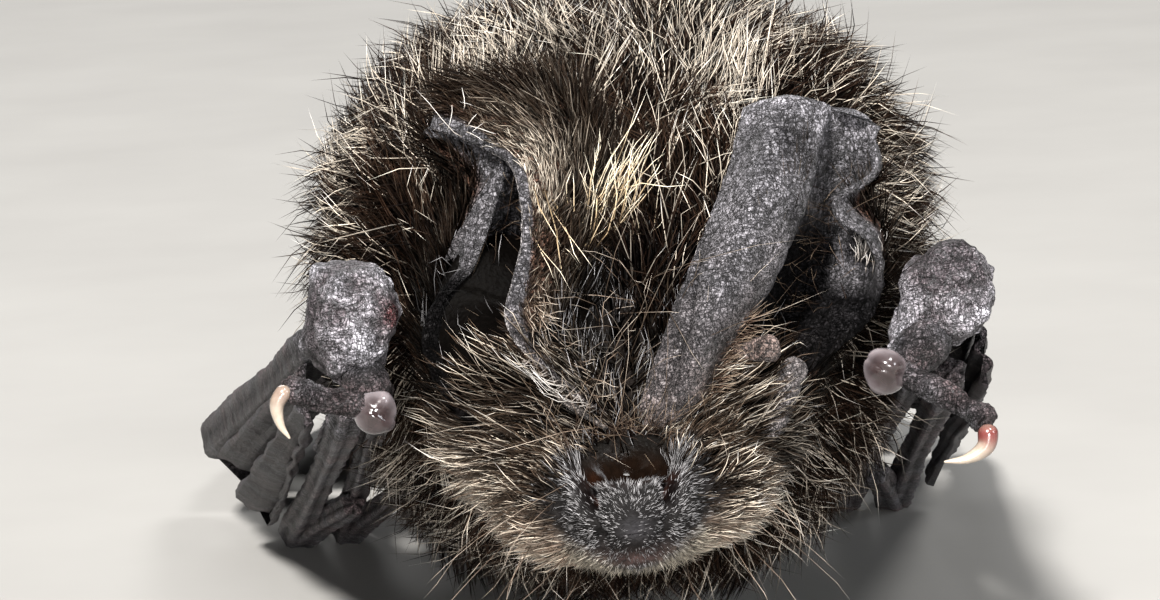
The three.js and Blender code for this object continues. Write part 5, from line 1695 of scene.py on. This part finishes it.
def grow_ear_velvet(ear, side, material, rng):
    """Short brown velvet on the back of an ear, its tips beige towards the ear's top."""
    weight = (1 - ear.front) * rising(ear.across, 0.12, 0.03) * falling(ear.across, 0.93, 0.03)
    weight = weight * np.where(ear.across < 0.42, 3, 1)
    if side < 0:
        weight = weight + 5 * ear.front * ramp_up(0.36 - ear.height, 0, 0.1) * (ear.across < 0.3)
    else:
        weight = weight * (ear.height < 0.84)
    name = "ear_left" if side > 0 else "ear_right"
    roots = scatter(ear, weight + 1e-9, HAIR_COUNTS[name], rng, height=ear.height, across=ear.across)
    count = len(roots.point)
    high = np.clip((roots.more["height"] - 0.7) / 0.3, 0, 1)
    shaggy = ramp_up(roots.more["across"], 0.2, 0.36)
    length = 0.42 * rng.uniform(0.6, 1.3, count) * (1 + 0.8 * high + 3.2 * shaggy)
    lift = np.radians(30) * rng.uniform(0.5, 1.5, count)
    swirl = 0.6 * smooth_noise(roots.point, 1.2, 34) + rng.normal(0, 0.25, count)
    lines = hair_lines(roots, length, lift, swirl, 0.5, rng, steps=THREE_STEPS)
    inner = 1 - shaggy
    height = roots.more["height"]
    pale = 0.04 + 0.55 * hill(height, 0.72, 0.13) * inner + 0.16 * smooth_noise(roots.point, 1, 35)
    tint = fur_tint(pale + rng.normal(0, 0.16, count), count, rng, 3,
                    root=srgb(16, 11, 9), middle=srgb(62, 48, 39))
    # the shaggy hairs darker, and painted shade over them low down
    gloom = ramp_up(0.56 - height, 0, 0.2) * ramp_up(roots.more["across"], 0.24, 0.34)
    tint = tint * ((0.4 + 0.6 * inner) * (1 - 0.85 * gloom))[:, None, None]
    width = 0.036 * rng.uniform(0.7, 1.3, count)
    add_hairs(f"fur_{name}", lines, roots.uv, width, tint, material, rng, taper=(1, 0.8), most=FINE_PIECE)


HAIR_STEPS = np.array([0, 0.25, 0.55, 0.8, 1.0])


def place_hairs(name, starts, uv, aim, scatter_of_aim, lengths, sag, width, colours, material, rng):
    """Single hairs at chosen places, aimed one way give or take a scatter, from a shortest to a longest
    length. sag is how far each bends, in lengths: a vector at its tip, or a number for a random bend."""
    count = len(starts)
    directions = unit(aim + rng.normal(0, scatter_of_aim, (count, 3)))
    length = rng.uniform(*lengths, count)
    bend = rng.normal(0, sag, (count, 3)) if np.isscalar(sag) else np.broadcast_to(sag, (count, 3))
    t = HAIR_STEPS[None, :, None]
    lines = starts[:, None] - 0.08 * directions[:, None] + length[:, None, None] * (
        directions[:, None] * t + bend[:, None] * t ** 2)
    lines += 0.05 * length[:, None, None] * rng.normal(size=(count, 1, 3)) * np.sin(t * 5)
    tint = curve(np.array(colours), HAIR_STEPS)[None] * rng.uniform(0.6, 1.2, (count, 1, 1))
    add_hairs(name, lines, uv, np.full(count, width), tint, material, rng, taper=(1, 0.9, 0.7, 0.45),
              most=9000)


def rail_points(rail, low, high, count, rng, jitter):
    """Random places along a rail of an ear, in the model's frame."""
    places = from_head(curve(np.array(rail), np.sort(rng.uniform(low, high, count))))
    return places + rng.normal(0, jitter, places.shape)


# Hair colours, from root to tip
GREY_HAIR = [srgb(30, 25, 22), srgb(92, 78, 66), srgb(214, 202, 188)]
DARK_HAIR = [srgb(16, 13, 12), srgb(58, 46, 38), srgb(150, 132, 112)]
RED_HAIR = [srgb(22, 15, 12), srgb(58, 43, 35), srgb(176, 158, 138)]
STRAW_HAIR = [srgb(44, 33, 24), srgb(176, 156, 126), srgb(255, 248, 228)]
WHITE_HAIR = [srgb(120, 112, 106), srgb(190, 184, 178), srgb(250, 248, 244)]
# Hairs along an ear's rails: [name, rail, from and to along it, hairs, jitter, shift], then what place_hairs
# takes: aim, its scatter, lengths, sag, width and colours
LEFT_EAR_HAIRS = [
    (("ear_fringe", EAR_LEFT_RAILS[2], (0.04, 0.32), 130, 0.12, [0, 0, 0]),
     ([1, -0.35, 0], 0.4, (0.5, 1.4), [0.1, 0, 0.1], 0.024, RED_HAIR)),
    (("concha_left", EAR_LEFT_RAILS[4], (0.1, 0.8), 150, 0.5, [0, -0.5, 0]),
     ([-0.7, -0.6, 0.2], 0.5, (0.6, 1.7), 0.4, 0.02, DARK_HAIR))]
RIGHT_EAR_HAIRS = [
    (("ear_lashes", EAR_RIGHT_RAILS[0], (0.02, 0.2), 26, 0.05, [0, -0.4, 0.1]),
     ([-1, -0.7, -0.5], 0.2, (0.7, 1.7), [0, 0, 0.8], 0.022, WHITE_HAIR)),
    (("ear_edge_right", EAR_RIGHT_RAILS[1], (0.0, 0.42), 260, 0.2, [0.1, -0.05, 0]),
     ([0.5, -0.5, -0.6], 0.5, (0.4, 1.3), [0, 0, 0], 0.032, GREY_HAIR)),
    (("concha_right", EAR_RIGHT_RAILS[3], (0.05, 0.8), 150, 0.5, [0, -0.5, 0]),
     ([0.3, -0.8, 0.2], 0.5, (0.6, 1.7), 0.4, 0.02, DARK_HAIR))]
# Tufts of hairs from one spot: [name, place, spread of the roots, hairs], then what place_hairs takes
LEFT_TUFTS = [(("concha_tuft", from_head([7.6, 10.2, 1.9]), 0.22, 40),
               ([0.1, -0.6, 0.9], 0.3, (0.5, 1.1), [-0.2, 0, 0.1], 0.03, WHITE_HAIR))]
# Bright tufts between the ears: [root, direction, length, hairs]
STRAW_TUFTS = [([-1.9, 6.9, 16.0], [0.35, -0.1, 1], 2.9, 44), ([-1.1, 7.2, 16.9], [0.5, -0.1, 1], 2.8, 36),
               ([-3.2, 6.7, 17.5], [0.45, -0.3, -1], 2.8, 24), ([-0.3, 7.4, 15.6], [-0.3, -0.2, 1], 2.2, 28)]
RIGHT_TUFTS = [((f"straw_{count}", place, 0.28, count),
                (aim, 0.2, (0.6 * length, 1.1 * length), 0.16, 0.046, STRAW_HAIR))
               for place, aim, length, count in STRAW_TUFTS]
RIGHT_TUFTS.append((("curly", from_head([-3.7, 11.3, 7.3]), 0.35, 14),
                    ([0.2, -0.5, 0.5], 0.6, (0.4, 0.9), 0.7, 0.034, WHITE_HAIR)))
MIDDLE_ROW, MIDDLE_COLUMN = 40.0, 60.0  # where on an ear's unwrap its single hairs take their place


def grow_ear_hairs(ear, along_rails, tufts, material, rng):
    """An ear's fringes, lashes and tufts, hair by hair."""
    def on_unwrap(count):
        return ear.unwrap(np.full(count, MIDDLE_ROW), np.full(count, MIDDLE_COLUMN))

    for (name, rail, (low, high), count, jitter, shift), looks in along_rails:
        places = rail_points(rail, low, high, count, rng, jitter) + shift
        place_hairs(name, places, on_unwrap(count), *looks, material, rng)
    for (name, place, spread, count), looks in tufts:
        places = np.array(place) + rng.normal(0, spread, (count, 3))
        place_hairs(name, places, on_unwrap(count), *looks, material, rng)


def grow_single_hairs(body, ears, material, rng):
    """Whiskers, the long hairs across the hollows and the brow, and the single hairs of the ears."""
    local = to_head(body.grid)
    side_weight = near(local * [0, 1, 1], [0, 1.6, -0.9], [1, 1.1, 1])
    side_weight = side_weight * ramp_up(np.abs(local[..., 0]), 0.8, 1.6)
    roots = scatter(body, side_weight * (local[..., 1] < 4), 24, rng)
    outward = unit(to_head(roots.point) * [1, 0, 0.9]) @ HEAD_AXES.T
    place_hairs("whiskers", roots.point, roots.uv, outward + [0, -0.5, -0.35], 0.25, (1.5, 4.6),
                [0, 0, -0.3], 0.026, GREY_HAIR, material, rng)
    roots = scatter(body, near(body.grid, VOID, [2.4, 2.2, 2.4]) * ~body.bare, 60, rng)
    place_hairs("void_hairs", roots.point, roots.uv, roots.normal + [0, -0.2, 0.3], 0.7, (1.8, 4),
                0.5, 0.024, GREY_HAIR, material, rng)
    roots = scatter(body, near(local, [0, 3.6, 1.4], [2.4, 0.8, 1.1]), 170, rng)
    place_hairs("brow_hairs", roots.point, roots.uv, roots.normal + [0, 0.6, 0.6], 0.8, (0.6, 1.6),
                0.6, 0.02, DARK_HAIR, material, rng)
    left, right = ears
    grow_ear_hairs(left, LEFT_EAR_HAIRS, LEFT_TUFTS, material, rng)
    grow_ear_hairs(right, RIGHT_EAR_HAIRS, RIGHT_TUFTS, material, rng)


# ------------------------------------------------------------------ eyes, pads and claws
def ball_part(centre, radii, seed=0, relief=0.0):
    """A smooth ball as a tube from pole to pole."""
    t = np.linspace(0.02, np.pi - 0.02, 60)[:, None]
    a = np.arange(80)[None, :] / 80 * 2 * np.pi
    shape = np.stack([np.sin(t) * np.cos(a), np.sin(t) * np.sin(a), np.cos(t) * np.ones_like(a)], axis=-1)
    grid = np.array(centre) + shape * radii
    return grid + shape * (relief * smooth_noise(grid, 0.5, seed))[..., None]


def add_piece(name, grids, tints, material, nodes):
    parts = [Part(grid, tint, "own", (0.02, 0.02, 0.98, 0.98)) for grid, tint in zip(grids, tints)]
    if len(parts) > 1:
        for number, part in enumerate(parts):
            left = 0.02 + 0.96 * number / len(parts)
            part.place = (left, 0.02, left + 0.9 / len(parts), 0.98)
    piece = mesh_from_parts(name, parts, {"own": material})
    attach(piece, "root")
    if nodes:
        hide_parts(*nodes)
    return piece


def add_eyes():
    material = eye_material()
    for name, side in (("left", 1), ("right", -1)):
        grid = from_head(ball_part(EYE_CENTRE * [side, 1, 1], [EYE_RADIUS] * 3))
        add_piece(f"eye_{name}_ball", [grid], [srgb(20, 12, 8)], material, [f"eye_{name}"])


def add_pad(name, wing, material):
    """The swollen pad on the inner side of a wrist, with a faint crease over it."""
    side = wing["side"]
    centre = on_side(side, wing["pad"])
    grid = ball_part(centre, [0.68, 0.62, 0.72 if side > 0 else 0.66], 61, 0.1)
    crease = hill((grid - centre) @ [0.5, 0, 0.86], 0.1, 0.09)
    grid = grid - (grid - centre) * 0.06 * crease[..., None]
    # painted rim light: the pad paler where it turns away from the front
    facing = np.abs(unit(grid - centre)[..., 1])
    rim = np.clip(1.15 - facing + 0.25 * smooth_noise(grid, 0.5, 62), 0, 1)[..., None] ** 2
    tint = srgb(34, 25, 25) * (1 - rim) + srgb(116, 109, 112) * rim
    add_piece(f"pad_{name}", [grid], [tint], material, [f"wrist_pad_{name}"])


def add_claw(name, wing, material):
    """A thumb's claw, ivory with the quick red near its root."""
    grid = limb(on_side(wing["side"], wing["claw"]), wing["claw_width"], steps=72, around=32)
    t = np.linspace(0, 1, 72)[:, None, None]
    ivory, quick = srgb(138, 128, 116) * (0.75 + 0.5 * t), srgb(84, 22, 24)
    red = hill(t, 0.16, 0.2) * wing["quick"]
    tint = np.broadcast_to(ivory * (1 - red) + quick * red, grid.shape)
    add_piece(f"claw_{name}", [grid], [tint], material, [f"thumb_claw_{name}"])


def add_toe_claws(name, side, material):
    claws = [above(limb(path, [0.2, 0.17, 0.03], steps=24, around=14), GROUND_GAP)
             for path in toe_claws(side)]
    add_piece(f"toe_claws_{name}", claws, [srgb(150, 132, 118)] * len(TOES), material, [])


def add_pads_and_claws():
    pad, horn = pad_material(), claw_material()
    for name, wing in WINGS.items():
        add_pad(name, wing, pad)
        add_claw(name, wing, horn)
        add_toe_claws(name, wing["side"], horn)


# ------------------------------------------------------------------ assembly
def main():
    add_camera()
    add_studio()
    add_floor()
    columns, heights = np.linspace(0, 1, 70), ear_levels(60)
    ear_shapes = []
    for rails in (EAR_LEFT_RAILS, EAR_RIGHT_RAILS):
        surface = ear_surface(rails, columns, heights)
        ear_shapes.append((surface, facing_out(surface)))
    body = make_body(ear_shapes)
    cells = cells_of_unwrap()
    ears = [make_ear(EAR_LEFT_RAILS, 1, (0.51, 0.51, 0.74, 0.99)),
            make_ear(EAR_RIGHT_RAILS, -1, (0.76, 0.51, 0.99, 0.99))]
    parts = [body, *ears, *ear_details(cells)]
    for name, wing in WINGS.items():
        parts += make_wing(wing, cells, 100 + 20 * wing["side"])
        parts += make_leg(wing["side"], cells, 200 + 20 * wing["side"])
    parts += make_tail(cells)
    materials = {"hide": hide_material(),
                 "leather": leather_material("leather", painted_sheen=0.06, size=0.95, light=4.7, roughness=0.4),
                 "crumpled": leather_material("crumpled_skin", painted_sheen=0.22, size=0.95, light=4.2,
                                              roughness=0.5)}
    skin = mesh_from_parts("skin", parts, materials)
    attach(skin, "root")
    flesh = [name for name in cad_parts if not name.startswith(("eye_", "thumb_claw_", "wrist_pad_"))]
    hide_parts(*flesh)
    add_eyes()
    add_pads_and_claws()
    fur = fur_material()
    rng = np.random.default_rng(SEED)
    grow_underfur(body, ear_shapes, fur, rng)
    grow_guard_hairs(body, ear_shapes, fur, rng)
    grow_trunk(body, fur, rng)
    grow_velvet(body, fur, rng)
    grow_cheeks(body, fur, rng)
    for ear, side in zip(ears, (1, -1)):
        grow_ear_velvet(ear, side, fur, rng)
    grow_single_hairs(body, ears, fur, rng)


main()
